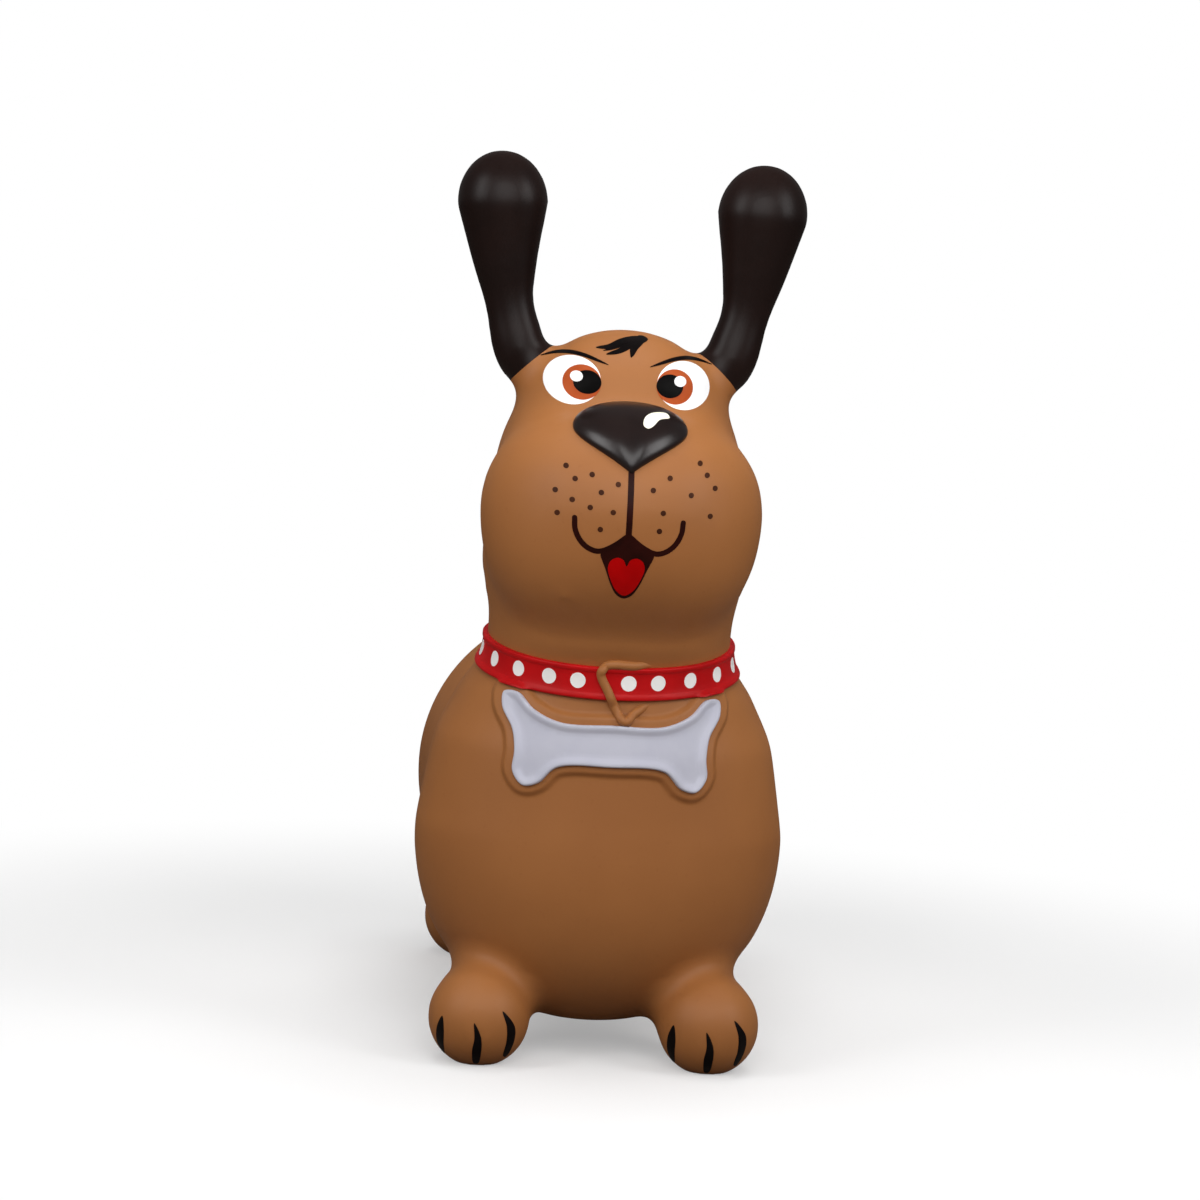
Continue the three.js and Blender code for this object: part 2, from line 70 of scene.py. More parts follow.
# The skin: one hollow shot of soft brown vinyl, turned in a hot mould until it coats it and pulled out
# through the valve. Trunk, head, legs, tail and ears are one wall, so every form runs into the next in a
# soft hollow.
MM = 0.001
BELLY_CLEARANCE = 17
# Each level in millimetres: height, place along the dog, half width, reach to the front and to the back
CHEST_TO_BROW = [
    (138, -118.93, 115, 88, 84),
    (194, -117.93, 105, 87, 83),
    (223, -119.93, 91, 82, 80),
    (249, -123.13, 75.5, 78, 66),
    (273, -126.93, 75.5, 78, 63),
    (300, -130.93, 82, 89, 71),
    (336, -132.93, 80, 95, 82),
    (378, -132.93, 73.5, 62, 82),
    (409, -128.93, 61, 52, 70),
]
CROWN_RISE = 38
CROWN_TURN = np.radians(18)  # the crown already leans in where it starts
BELLY_SQUARENESS = 2.2
# Place along the dog, height, half width, rise and drop
MUZZLE = [(-132.93, 330, 72.5, 56, 66), (-168.23, 336, 87, 66, 80)]
MUZZLE_DOME = 80
MUZZLE_SQUARENESS = 2.35
BARREL = [(-118.93, 138, 108, 102, 121), (31.07, 138, 105, 98, 121), (121.07, 138, 111, 112, 121)]
RUMP_DEPTH = 84
# Spread, place along the dog, height and radius from the root to the paw
FRONT_LEG = [(54, -120, 80, 26), (60, -141, 44, 27), (70, -176.93, 27.5, 31)]
REAR_LEG = [(54, 121.07, 96, 29), (60, 136.07, 61.75, 29), (70, 151.07, 27.5, 31)]
PAW_DOME = 31
TAIL = [(0, 171.07, 182, 21), (0, 211.07, 210, 17), (0, 235.07, 244, 13)]
TAIL_DOME = 13
EAR = [(46.38, -128.93, 408.72, 16), (63, -128.93, 430, 17), (71.5, -128.93, 456, 14.8)]
EAR += [(76.5, -128.93, 487, 20.3), (79.5, -128.93, 520, 27.8)]
EAR_DOME = 32
EAR_FLATNESS = 0.9
GRAIN = 2.0 * MM  # size of the skin's faces
FORWARD = np.array([0.0, -1.0, 0.0])
UP = np.array([0.0, 0.0, 1.0])


def through(points, share):
    """Points on a smooth line through the given points, at shares of its spans."""
    points = np.asarray(points, float)
    padded = np.vstack([2 * points[0] - points[1], points, 2 * points[-1] - points[-2]])
    place = np.clip(share, 0, 1) * (len(points) - 1)
    span = np.minimum(place.astype(int), len(points) - 2)
    f = (place - span)[:, None]
    a, b, c, d = (padded[span + k] for k in range(4))
    pairs = ((a, b), (b, c), (c, d))
    ab, bc, cd = (np.sqrt(np.linalg.norm(q - p, axis=1, keepdims=True)) for p, q in pairs)
    bc = np.where(bc < 1e-4, 1, bc)
    ab = np.where(ab < 1e-4, bc, ab)
    cd = np.where(cd < 1e-4, bc, cd)
    leave = ((b - a) / ab - (c - a) / (ab + bc) + (c - b) / bc) * bc
    arrive = ((c - b) / bc - (d - b) / (bc + cd) + (d - c) / cd) * bc
    rest = (3 * f**2 - 2 * f**3) * (c - b)
    return b + rest + (f**3 - 2 * f**2 + f) * leave + (f**3 - f**2) * arrive


def band(low, high, around):
    """The faces between two rings of points, by the number of the first point of each."""
    pairs = [(k, (k + 1) % around) for k in range(around)]
    return [(low + a, low + b, high + b, high + a) for a, b in pairs]


class Form:
    """A soft form over oval rings along a spine. Its last ring has a dome and, where asked, its first."""

    def __init__(self, spine, girth, face, start=0, end=0, squareness=2, start_squareness=2, end_turn=0):
        self.spine, self.girth, self.face = spine, girth, face
        self.start, self.end, self.squareness = start, end, squareness
        self.start_power, self.end_turn = 2 / start_squareness, end_turn

    def rings(self, share, slide=0, shrink=1, around=96):
        share = np.atleast_1d(np.asarray(share, float))
        slide, shrink = (np.broadcast_to(v, share.shape)[:, None] for v in (slide, shrink))
        ahead = through(self.spine, share + 1e-4) - through(self.spine, share - 1e-4)
        ahead /= np.linalg.norm(ahead, axis=1, keepdims=True)
        side = np.cross(self.face, ahead)
        side /= np.linalg.norm(side, axis=1, keepdims=True)
        front = np.cross(ahead, side)
        centre = through(self.spine, share) + ahead * slide
        wide, fore, back = (through(self.girth, share) * shrink).T[:, :, None]
        angle = np.linspace(0, 2 * np.pi, around, endpoint=False)
        swell = lambda v: np.sign(v) * np.abs(v) ** (2 / self.squareness)
        across = swell(np.cos(angle)) * wide
        rise = swell(np.sin(angle)) * np.where(np.sin(angle) < 0, back, fore)
        return centre[:, None] + side[:, None] * across[:, :, None] + front[:, None] * rise[:, :, None]

    def mesh(self, around=96, along=72, dome=24):
        quarter = np.linspace(0, np.pi / 2, dome + 1)[1:]
        rows = [self.rings(np.linspace(0, 1, along), around=around)]
        if self.start:
            turn = quarter[::-1]
            drop, shrink = (v(turn) ** self.start_power for v in (np.sin, np.cos))
            rows.insert(0, self.rings(0 * turn, -self.start * drop, shrink, around))
        if self.end:
            turn = self.end_turn + quarter * (1 - self.end_turn * 2 / np.pi)
            rise = (np.sin(turn) - np.sin(self.end_turn)) / (1 - np.sin(self.end_turn))
            shrink = np.cos(turn) / np.cos(self.end_turn)
            rows.append(self.rings(0 * turn + 1, self.end * rise, shrink, around))
        rows = np.concatenate(rows)
        points = np.vstack([rows.reshape(-1, 3), rows[0].mean(0), rows[-1].mean(0)])
        faces = []
        for r in range(len(rows) - 1):
            faces += band(r * around, (r + 1) * around, around)
        first, last, top = len(points) - 2, len(points) - 1, (len(rows) - 1) * around
        faces += [(first, (k + 1) % around, k) for k in range(around)]
        faces += [(last, top + k, top + (k + 1) % around) for k in range(around)]
        return points * MM, faces


def mirrored(path, hand):
    return [(hand * x, y, z) for x, y, z, _ in path]


def limb(path, hand, face, dome, flatness=1):
    girth = [(r, r * flatness, r * flatness) for *_, r in path]
    return Form(mirrored(path, hand), girth, face, end=dome)


pear = Form(
    [(0, y, z) for z, y, *_ in CHEST_TO_BROW],
    [girth for _, _, *girth in CHEST_TO_BROW],
    FORWARD,
    start=CHEST_TO_BROW[0][0] - BELLY_CLEARANCE,
    end=CROWN_RISE,
    start_squareness=BELLY_SQUARENESS,
    end_turn=CROWN_TURN,
)
muzzle = Form(
    [(0, y, z) for y, z, *_ in MUZZLE],
    [girth for _, _, *girth in MUZZLE],
    UP,
    end=MUZZLE_DOME,
    squareness=MUZZLE_SQUARENESS,
)
barrel = Form([(0, y, z) for y, z, *_ in BARREL], [girth for _, _, *girth in BARREL], UP, end=RUMP_DEPTH)
forms = [pear, muzzle, barrel, limb(TAIL, 1, UP, TAIL_DOME)]
for hand in (1, -1):
    forms += [limb(leg, hand, FORWARD, PAW_DOME) for leg in (FRONT_LEG, REAR_LEG)]
    forms.append(limb(EAR, hand, FORWARD, EAR_DOME, EAR_FLATNESS))


def piece(name, points, faces):
    mesh = bpy.data.meshes.new(name)
    mesh.from_pydata([tuple(p) for p in points], [], [tuple(f) for f in faces])
    mesh.validate()
    mesh.polygons.foreach_set("use_smooth", [True] * len(mesh.polygons))
    made = bpy.data.objects.new(name, mesh)
    bpy.context.scene.collection.objects.link(made)
    return made


def arrays(mesh):
    points = np.zeros(len(mesh.vertices) * 3)
    mesh.vertices.foreach_get("co", points)
    edges = np.zeros(len(mesh.edges) * 2, int)
    mesh.edges.foreach_get("vertices", edges)
    return points.reshape(-1, 3), edges.reshape(-1, 2)


def normals(mesh):
    found = np.zeros(len(mesh.vertices) * 3)
    mesh.vertices.foreach_get("normal", found)
    return found.reshape(-1, 3)


def soft_step(v):
    v = np.clip(v, 0, 1)
    return v * v * (3 - 2 * v)


def relax(points, edges, weight, rounds):
    """Draws every point towards its neighbours, so that hollows fill and faces even out."""
    a, b = edges.T
    count = len(points)
    weight = np.broadcast_to(weight, count)
    shared = np.bincount(a, minlength=count) + np.bincount(b, minlength=count)
    for _ in range(rounds):
        total = np.stack(
            [np.bincount(a, points[b, k], count) + np.bincount(b, points[a, k], count) for k in range(3)], 1
        )
        points = points + weight[:, None] * (total / shared[:, None] - points)
    return points


# All forms are joined into one wall.
solids = [form.mesh() for form in forms]
points, faces = [], []
for solid_points, solid_faces in solids:
    faces += [tuple(k + len(points) for k in face) for face in solid_faces]
    points += list(solid_points)
rough = piece("skin_rough", points, faces)
join = rough.modifiers.new("join", "REMESH")
join.mode = "VOXEL"
join.voxel_size = GRAIN
wall = bpy.data.meshes.new_from_object(rough.evaluated_get(bpy.context.evaluated_depsgraph_get()))
bpy.data.objects.remove(rough)

# Where two forms meet, the wall is drawn into a hollow. It is widest round the chin and along the flanks,
# wide over the cheeks, and narrow at the nape, under the collar. The back of the head is evened out as well.
HOLLOW, CHIN_HOLLOW, CHEEK_HOLLOW, PAW_HOLLOW, NAPE_HOLLOW = np.array((17, 40, 30, 15, 9)) * MM
FACE_BACK, CHEEK_BACK, NECK_BACK, SADDLE_START = np.array((-120, -130, -100, 20)) * MM
CHIN_TOP, CHIN_FOOT, CHIN_FADE = np.array((352, 235, 30)) * MM
CHEEK_TOP, CHEEK_FOOT, CHEEK_FADE = np.array((408, 330, 10)) * MM
CHEEK_INSIDE, CHEEK_INSIDE_FADE = 35 * MM, 20 * MM
PAW_TOP, PAW_FADE, SOLE_TOP = 125 * MM, 30 * MM, 10 * MM
FLANK_FRONT, FLANK_FOOT, WITHERS = np.array((-90, 50, 215)) * MM
FLANK_FADE, NAPE_FADE = 30 * MM, 20 * MM
THROAT, THROAT_REACH, THROAT_FILL = np.array((260.5, 11, 3.5)) * MM
THROAT_SIDE, THROAT_FADE = 80 * MM, 40 * MM
HEAD_BACK, HEAD_BACK_FADE = -135 * MM, 35 * MM
HEAD_BACK_MIDDLE, HEAD_BACK_REACH, HEAD_BACK_RISE = np.array((392, 60, 38)) * MM
FIRST_EVENING, LAST_EVENING = (0.5, 6), (0.4, 4)  # how far each point is drawn, and how often
HOLLOW_ROUNDS = 110
points, edges = arrays(wall)
trees = []
for solid_points, solid_faces in solids:
    trees.append(BVHTree.FromPolygons([tuple(p) for p in solid_points], solid_faces))
lows = [solid_points.min(0) - CHIN_HOLLOW for solid_points, _ in solids]
highs = [solid_points.max(0) + CHIN_HOLLOW for solid_points, _ in solids]
near = np.full((len(points), len(trees)), 1.0)
for k, tree in enumerate(trees):
    inside = np.flatnonzero(((points > lows[k]) & (points < highs[k])).all(1))
    near[inside, k] = [tree.find_nearest(points[i], CHIN_HOLLOW)[3] or 1.0 for i in inside]
x, y, z = points.T
chin = soft_step((CHIN_TOP - z) / CHIN_FADE) * (y < FACE_BACK) * (z > CHIN_FOOT)
paws = soft_step((PAW_TOP - z) / PAW_FADE)
cheeks = soft_step((CHEEK_TOP - z) / CHEEK_FADE) * (1 - chin) * (y < CHEEK_BACK) * (z > CHEEK_FOOT)
cheeks *= soft_step((abs(x) - CHEEK_INSIDE) / CHEEK_INSIDE_FADE)
flanks = (y > FLANK_FRONT) * (y < SADDLE_START) * (z > FLANK_FOOT) * soft_step((WITHERS - z) / FLANK_FADE)
nape = (y > NECK_BACK) * (y < SADDLE_START) * soft_step((z - WITHERS) / NAPE_FADE)
hollow = HOLLOW + chin * (CHIN_HOLLOW - HOLLOW) + cheeks * (CHEEK_HOLLOW - HOLLOW)
hollow += paws * (PAW_HOLLOW - HOLLOW) + nape * (NAPE_HOLLOW - HOLLOW) + flanks * (CHIN_HOLLOW - HOLLOW)
second = np.sort(near, axis=1)[:, 1]
meeting = soft_step(1.15 - second / hollow) * soft_step((z - SOLE_TOP) / PAW_FADE)
points = relax(points, edges, *FIRST_EVENING)
pull = meeting * (0.45 + 0.55 * np.max([chin, flanks, 0.7 * cheeks, 0.6 * paws], axis=0))
back_of_head = 0.65 * soft_step((HEAD_BACK_REACH - abs(z - HEAD_BACK_MIDDLE)) / HEAD_BACK_RISE)
back_of_head *= soft_step((y - HEAD_BACK) / HEAD_BACK_FADE)
points = relax(points, edges, np.maximum(pull, back_of_head), HOLLOW_ROUNDS)
points = relax(points, edges, *LAST_EVENING)
throat = np.exp(-(((z - THROAT) / THROAT_REACH) ** 2)) * (y < FACE_BACK)
throat *= soft_step((THROAT_SIDE - abs(x)) / THROAT_FADE)
points[:, 1] -= THROAT_FILL * throat  # the throat runs straight down to the collar
points[:, 2] = np.maximum(points[:, 2], 0)  # flat soles
wall.vertices.foreach_set("co", points.ravel())
wall.update()

# A bone-shaped pad stands up from the chest, under the tag.
TAG_HEIGHT = 200
TAG_END, TAG_KNUCKLE, TAG_SHAFT = 65, 27.5, 12.5
PAD_RELIEF = 2.8 * MM
PAD_FLAT, PAD_EDGE = 3.2, 7.4  # the pad's flat margin and its foot, from the outline of the tag
PAD_REACH, PAD_BACK = (85, 45), -140 * MM
FINE_FRONT, FINE_SIDE, FINE_FOOT, FINE_TOP = np.array((-150, 82, 156, 240)) * MM  # finer faces here
bone_half = [
    (0.48 * TAG_END, TAG_SHAFT),
    (0.72 * TAG_END, 0.68 * TAG_KNUCKLE),
    (0.87 * TAG_END, TAG_KNUCKLE),
    (0.985 * TAG_END, 0.97 * TAG_KNUCKLE),
    (TAG_END, 0.66 * TAG_KNUCKLE),
    (0.905 * TAG_END, 0.2 * TAG_KNUCKLE),
    (0.88 * TAG_END, -0.24 * TAG_KNUCKLE),
    (0.89 * TAG_END, -0.68 * TAG_KNUCKLE),
    (0.795 * TAG_END, -0.97 * TAG_KNUCKLE),
    (0.66 * TAG_END, -0.9 * TAG_KNUCKLE),
    (0.49 * TAG_END, -1.15 * TAG_SHAFT),
]
bone_corners = [(0, TAG_SHAFT), *bone_half, (0, -TAG_SHAFT), *[(-x, y) for x, y in bone_half[::-1]]]


def closed(corners, count):
    """A smooth closed outline through the corners."""
    spans = len(corners)
    wrapped = [corners[k % spans] for k in range(-3, spans + 4)]
    share = (3 + np.linspace(0, spans, count, endpoint=False)) / (spans + 6)
    return through(wrapped, share)


def edge_distance(outline, spots):
    """How far each spot is inside the outline, below zero outside it."""
    after = np.roll(outline, -1, 0)
    best = np.full(len(spots), 1e9)
    odd = np.zeros(len(spots), bool)
    for (x0, y0), (x1, y1) in zip(outline, after):
        run = np.array([x1 - x0, y1 - y0])
        away = spots - (x0, y0)
        along = np.clip(away @ run / max(run @ run, 1e-12), 0, 1)
        best = np.minimum(best, np.linalg.norm(away - along[:, None] * run, axis=1))
        crosses = (y0 > spots[:, 1]) != (y1 > spots[:, 1])
        reach = x0 + (spots[:, 1] - y0) * (x1 - x0) / (y1 - y0 if y1 != y0 else 1)
        odd ^= crosses & (spots[:, 0] < reach)
    return np.where(odd, best, -best)


bone_outline = closed(bone_corners, 160)
shaped = bmesh.new()
shaped.from_mesh(wall)


def near_pad(spot):
    return spot.y < FINE_FRONT and abs(spot.x) < FINE_SIDE and FINE_FOOT < spot.z < FINE_TOP


fine = [e for e in shaped.edges if all(near_pad(v.co) for v in e.verts)]
bmesh.ops.subdivide_edges(shaped, edges=fine, cuts=1, use_grid_fill=True, smooth=0.9)
shaped.to_mesh(wall)
shaped.free()
points, edges = arrays(wall)
flat = np.stack([points[:, 0] / MM, points[:, 2] / MM - TAG_HEIGHT], 1)
chest = np.flatnonzero((points[:, 1] < PAD_BACK) & (np.abs(flat) < PAD_REACH).all(1))
beside = -edge_distance(bone_outline, flat[chest])
height = soft_step((PAD_EDGE - beside) / (PAD_EDGE - PAD_FLAT))
points[chest] += normals(wall)[chest] * (PAD_RELIEF * height)[:, None]
wall.vertices.foreach_set("co", points.ravel())
wall.update()

# The paint line of each ear is a clean cut through the wall, higher at the front. The rump has a hole for
# the valve.
EAR_LINE = Vector((57.1, -130, 423.4)) * MM
EAR_LEAN = Vector((0.666, 0.118, 0.737)).normalized()
EAR_LINE_REACH, EAR_INSIDE, EAR_FOOT = 40 * MM, 30 * MM, 410 * MM
VALVE_AXIS_HEIGHT = 138 * MM
VALVE_HOLE = 12 * MM
RUMP_START = 180 * MM
cut = bmesh.new()
cut.from_mesh(wall)
for hand in (1, -1):
    spot = Vector((hand * EAR_LINE.x, EAR_LINE.y, EAR_LINE.z))
    lean = Vector((hand * EAR_LEAN.x, EAR_LEAN.y, EAR_LEAN.z))
    around_line = [f for f in cut.faces if (f.calc_center_median() - spot).length < EAR_LINE_REACH]
    corners = dict.fromkeys(x for f in around_line for x in (*f.verts, *f.edges))
    bmesh.ops.bisect_plane(cut, geom=[*corners, *around_line], plane_co=spot, plane_no=lean, dist=1e-6)
hole = [
    f
    for f in cut.faces
    if f.calc_center_median().y > RUMP_START
    and (f.calc_center_median().xz - Vector((0, VALVE_AXIS_HEIGHT))).length < VALVE_HOLE
]
bmesh.ops.delete(cut, geom=hole, context="FACES")
cut.verts.ensure_lookup_table()
cut.verts.index_update()
all_points = np.array([v.co for v in cut.verts])
all_faces = [[v.index for v in f.verts] for f in cut.faces]
middles = np.array([f.calc_center_median() for f in cut.faces])
cut.free()
bpy.data.meshes.remove(wall)


def taken(name, chosen):
    """A piece made of the chosen faces of the wall, closed where an ear was cut from the head."""
    used = sorted({k for f in chosen for k in f})
    place = {k: i for i, k in enumerate(used)}
    made = piece(name, all_points[used], [[place[k] for k in f] for f in chosen])
    shell = bmesh.new()
    shell.from_mesh(made.data)
    over_valve = VALVE_AXIS_HEIGHT + 2 * VALVE_HOLE
    rim = [e for e in shell.edges if e.is_boundary and e.verts[0].co.z > over_valve]
    for e in rim:
        e.smooth = False
    bmesh.ops.holes_fill(shell, edges=rim)
    shell.to_mesh(made.data)
    shell.free()
    return made


beyond = {}
for hand in (1, -1):
    lean = np.array([hand * EAR_LEAN.x, EAR_LEAN.y, EAR_LEAN.z])
    spot = np.array([hand * EAR_LINE.x, EAR_LINE.y, EAR_LINE.z])
    over_line = (middles - spot) @ lean > 0
    beyond[hand] = over_line & (hand * middles[:, 0] > EAR_INSIDE) & (middles[:, 2] > EAR_FOOT)
skin = taken("skin", [f for f, l, r in zip(all_faces, beyond[1], beyond[-1]) if not (l or r)])


class Tone:
    """A value or colour inside a material. Sums and products of tones add Math nodes to it."""

    def __init__(self, tree, socket=None):
        self.tree, self.socket = tree, socket

    def node(self, kind, settings=None, inputs=None, out=0):
        made = self.tree.nodes.new(kind)
        for name, value in (settings or {}).items():
            setattr(made, name, value)
        for name, value in (inputs or {}).items():
            if isinstance(value, Tone):
                self.tree.links.new(value.socket, made.inputs[name])
            else:
                made.inputs[name].default_value = value
        return Tone(self.tree, made.outputs[out])

    def math(self, operation, a, b):
        return self.node("ShaderNodeMath", {"operation": operation}, {0: a, 1: b})

    def __add__(self, other):
        return self.math("ADD", self, other)

    def __mul__(self, other):
        return self.math("MULTIPLY", self, other)

    __radd__, __rmul__ = __add__, __mul__

    def mixed(self, low, high):
        """A colour between two colours, by this tone."""
        inputs = {0: self, 6: low, 7: high}
        return self.node("ShaderNodeMix", {"data_type": "RGBA"}, inputs, 2)

    def ranged(self, low, high, to_low=0.0, to_high=1.0):
        inputs = {0: self, 1: low, 2: high, 3: to_low, 4: to_high}
        return self.node("ShaderNodeMapRange", {"interpolation_type": "SMOOTHSTEP"}, inputs)

    def noise(self, scale, detail=2.0, roughness=0.5):
        """Cloudy values around a half, this tone being the place."""
        inputs = {"Vector": self, "Scale": scale, "Detail": detail, "Roughness": roughness}
        return self.node("ShaderNodeTexNoise", None, inputs)


def linear(red, green, blue):
    """A colour given as it looks on a screen, from 0 to 255."""
    share = np.array([red, green, blue]) / 255
    light = np.where(share <= 0.04045, share / 12.92, ((share + 0.055) / 1.055) ** 2.4)
    return (*light, 1.0)


def finish_for(name):
    """A new material with its shader, and a tone for the place on the dog."""
    material = bpy.data.materials.new(name)
    material.use_nodes = True
    shader = material.node_tree.nodes["Principled BSDF"]
    start = Tone(material.node_tree)
    place = start.node("ShaderNodeTexCoord", out=3)
    return material, shader, place


def feed(shader, **tones):
    for name, tone in tones.items():
        socket = shader.inputs[name.replace("_", " ")]
        shader.id_data.links.new(tone.socket, socket)


def orange_peel(place, height, strength):
    """The fine pebbling that a hot mould leaves on vinyl."""
    pebble = place.noise(620, 2.0) + 0.35 * place.noise(1900, 1.0)
    return place.node("ShaderNodeBump", None, {"Strength": strength, "Distance": height, "Height": pebble})


SKIN_LIGHT = linear(165, 106, 57)
SKIN_DARK = linear(153, 96, 50)
brown_vinyl, shader, place = finish_for("brown_vinyl")
cloud = place.noise(9, 3.0).ranged(0.3, 0.7)
speck = place.noise(240, 2.0).ranged(0.62, 0.8)
feed(
    shader,
    Base_Color=(cloud * 0.7 + 0.3 * speck).mixed(SKIN_LIGHT, SKIN_DARK),
    Roughness=0.48 + 0.08 * place.noise(30, 4.0),
    Normal=orange_peel(place, 0.12 * MM, 0.35),
)
shader.inputs["Specular IOR Level"].default_value = 0.32
skin.data.materials.append(brown_vinyl)
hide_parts("body_shell", "head_shell", "tail")
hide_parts("front_left_leg", "front_right_leg", "rear_left_leg", "rear_right_leg")


class Surface:
    """A finished piece that other pieces are laid on."""

    def __init__(self, made):
        self.points, _ = arrays(made.data)
        self.facing = normals(made.data)
        self.faces = [list(f.vertices) for f in made.data.polygons]
        self.tree = BVHTree.FromPolygons([tuple(p) for p in self.points], self.faces)

    def hit(self, start, way):
        """How far a ray runs until it meets the surface, where that is, and which way it faces there."""
        spot, _, face, far = self.tree.ray_cast(Vector(start), Vector(way))
        if spot is None:
            return None
        corners = self.faces[face]
        share = 1 / (((self.points[corners] - spot) ** 2).sum(1) + 1e-12)
        facing = share @ self.facing[corners]
        return far, np.array(spot), facing / np.linalg.norm(facing)


on_skin = Surface(skin)
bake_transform(skin)

# The ears: the same hollow wall, sprayed near-black from the paint line up. They are the handles, so hands
# have made them satin.
EAR_LIGHT = linear(28, 15, 12)
EAR_DARK = linear(20, 9, 7)
dark_vinyl, shader, place = finish_for("dark_vinyl")
cloud = place.noise(22, 3.0).ranged(0.3, 0.7)
feed(
    shader,
    Base_Color=cloud.mixed(EAR_DARK, EAR_LIGHT),
    Roughness=0.33 + 0.12 * place.noise(45, 4.0),
    Normal=orange_peel(place, 0.1 * MM, 0.3),
)
shader.inputs["Specular IOR Level"].default_value = 0.2
for side, hand in (("left", 1), ("right", -1)):
    ear = taken(f"{side}_ear_club", [f for f, b in zip(all_faces, beyond[hand]) if b])
    ear.data.materials.append(dark_vinyl)
    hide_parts(f"{side}_ear")
    lean = Vector((hand * EAR_LEAN.x, 0, EAR_LEAN.z)).normalized()
    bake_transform(ear)

# The valve seat: a thick ring in the middle of the rump, of the same brown vinyl. It is moulded with the
# skin, and its countersunk bore grips the plug.
RUMP_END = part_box("valve_plug")[1][1]
# Radius, and place along the dog from the rump's end
SEAT_PROFILE = [(14.5, -1.6), (12.6, -0.3), (11.3, -0.2), (10.6, -0.6), (10.35, -1.2), (10.3, -2.7)]
SEAT_PROFILE += [(4.9, -2.75), (4.5, -3.2), (4.5, -11), (7, -11.5), (14.5, -6)]


def turned(name, profile, loop, around=72):
    """A piece turned about the axis of the valve: a ring, or else its profile ends on the axis."""
    angle = np.linspace(0, 2 * np.pi, around, endpoint=False)
    rows = [np.stack([r * np.cos(angle), 0 * angle + y, r * np.sin(angle)], 1) for r, y in profile]
    points = np.concatenate(rows) * MM + (0, RUMP_END, VALVE_AXIS_HEIGHT)
    faces = []
    for r in range(len(rows) if loop else len(rows) - 1):
        faces += band(r * around, (r + 1) % len(rows) * around, around)
    made = piece(name, points, faces)
    tidy = bmesh.new()
    tidy.from_mesh(made.data)
    bmesh.ops.remove_doubles(tidy, verts=tidy.verts, dist=1e-6)
    bmesh.ops.recalc_face_normals(tidy, faces=tidy.faces)
    tidy.to_mesh(made.data)
    tidy.free()
    made.data.set_sharp_from_angle(angle=np.radians(50))
    return made


valve_seat = turned("valve_seat", SEAT_PROFILE, True)
valve_seat.data.materials.append(brown_vinyl)
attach(valve_seat, "trunk")

# The plug: a push-in stopper, moulded of soft white plastic. Its barbed stem snaps into the seat, and its
# dished head lies flush with the rump.
PLUG_PROFILE = [(0, -15), (2.7, -15), (3.3, -14.5), (4.2, -12), (3.3, -11.1), (3.3, -8), (4.2, -7.1)]
PLUG_PROFILE += [(4.2, -2.4), (9.6, -2.4), (10, -2), (10, -0.7), (9.8, -0.2), (9.3, 0), (6.6, 0)]
PLUG_PROFILE += [(6.2, -0.2), (5.6, -0.9), (0, -1)]
valve_plug = turned("valve_stopper", PLUG_PROFILE, False)
white_plastic, shader, place = finish_for("white_plastic")
feed(
    shader,
    Base_Color=place.noise(160, 3.0).ranged(0.3, 0.7).mixed(linear(236, 233, 226), linear(222, 218, 209)),
    Roughness=0.42 + 0.1 * place.noise(300, 3.0),
    Normal=orange_peel(place, 0.05 * MM, 0.2),
)
valve_plug.data.materials.append(white_plastic)
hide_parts("valve_plug")
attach(valve_plug, "valve_plug")

# The nose: a rounded triangle that stands up from the top of the muzzle, moulded with the skin and sprayed
# near-black like the ears. A shallow groove runs down the middle of its lower half.
NOSE_TILT = np.radians(48)
NOSE_HALF, NOSE_TOP, NOSE_WIDEST, NOSE_TIP = 34, 30.5, 4.2, -35.2
NOSE_RELIEF = 9
NOSE_GROOVE, NOSE_GROOVE_WIDTH, NOSE_GROOVE_RUN = 1.7, 4.2, 14  # it deepens over its run
X_AXIS = np.array([1.0, 0.0, 0.0])


class Sheet:
    """A flat sheet over a part of the dog. What is drawn on it is pressed onto the surfaces below."""

    REACH = 0.2

    def __init__(self, centre, axis, *surfaces, right=X_AXIS):
        self.centre, self.axis, self.surfaces = np.array(centre), np.array(axis), surfaces
        self.right, self.up = right, np.cross(axis, right)

    def press(self, spots):
        places, facings = [], []
        for x, y in spots:
            start = self.centre + self.right * x * MM + self.up * y * MM + self.axis * self.REACH
            hits = [hit for hit in (s.hit(start, -self.axis) for s in self.surfaces) if hit]
            _, spot, facing = min(hits, key=lambda hit: hit[0])
            places.append(spot)
            facings.append(facing)
        return np.array(places), np.array(facings)


def bezier(a, b, c, d, count):
    t = np.linspace(0, 1, count, endpoint=False)[:, None]
    a, b, c, d = (np.array(p, float) for p in (a, b, c, d))
    return (1 - t) ** 3 * a + 3 * (1 - t) ** 2 * t * b + 3 * (1 - t) * t**2 * c + t**3 * d


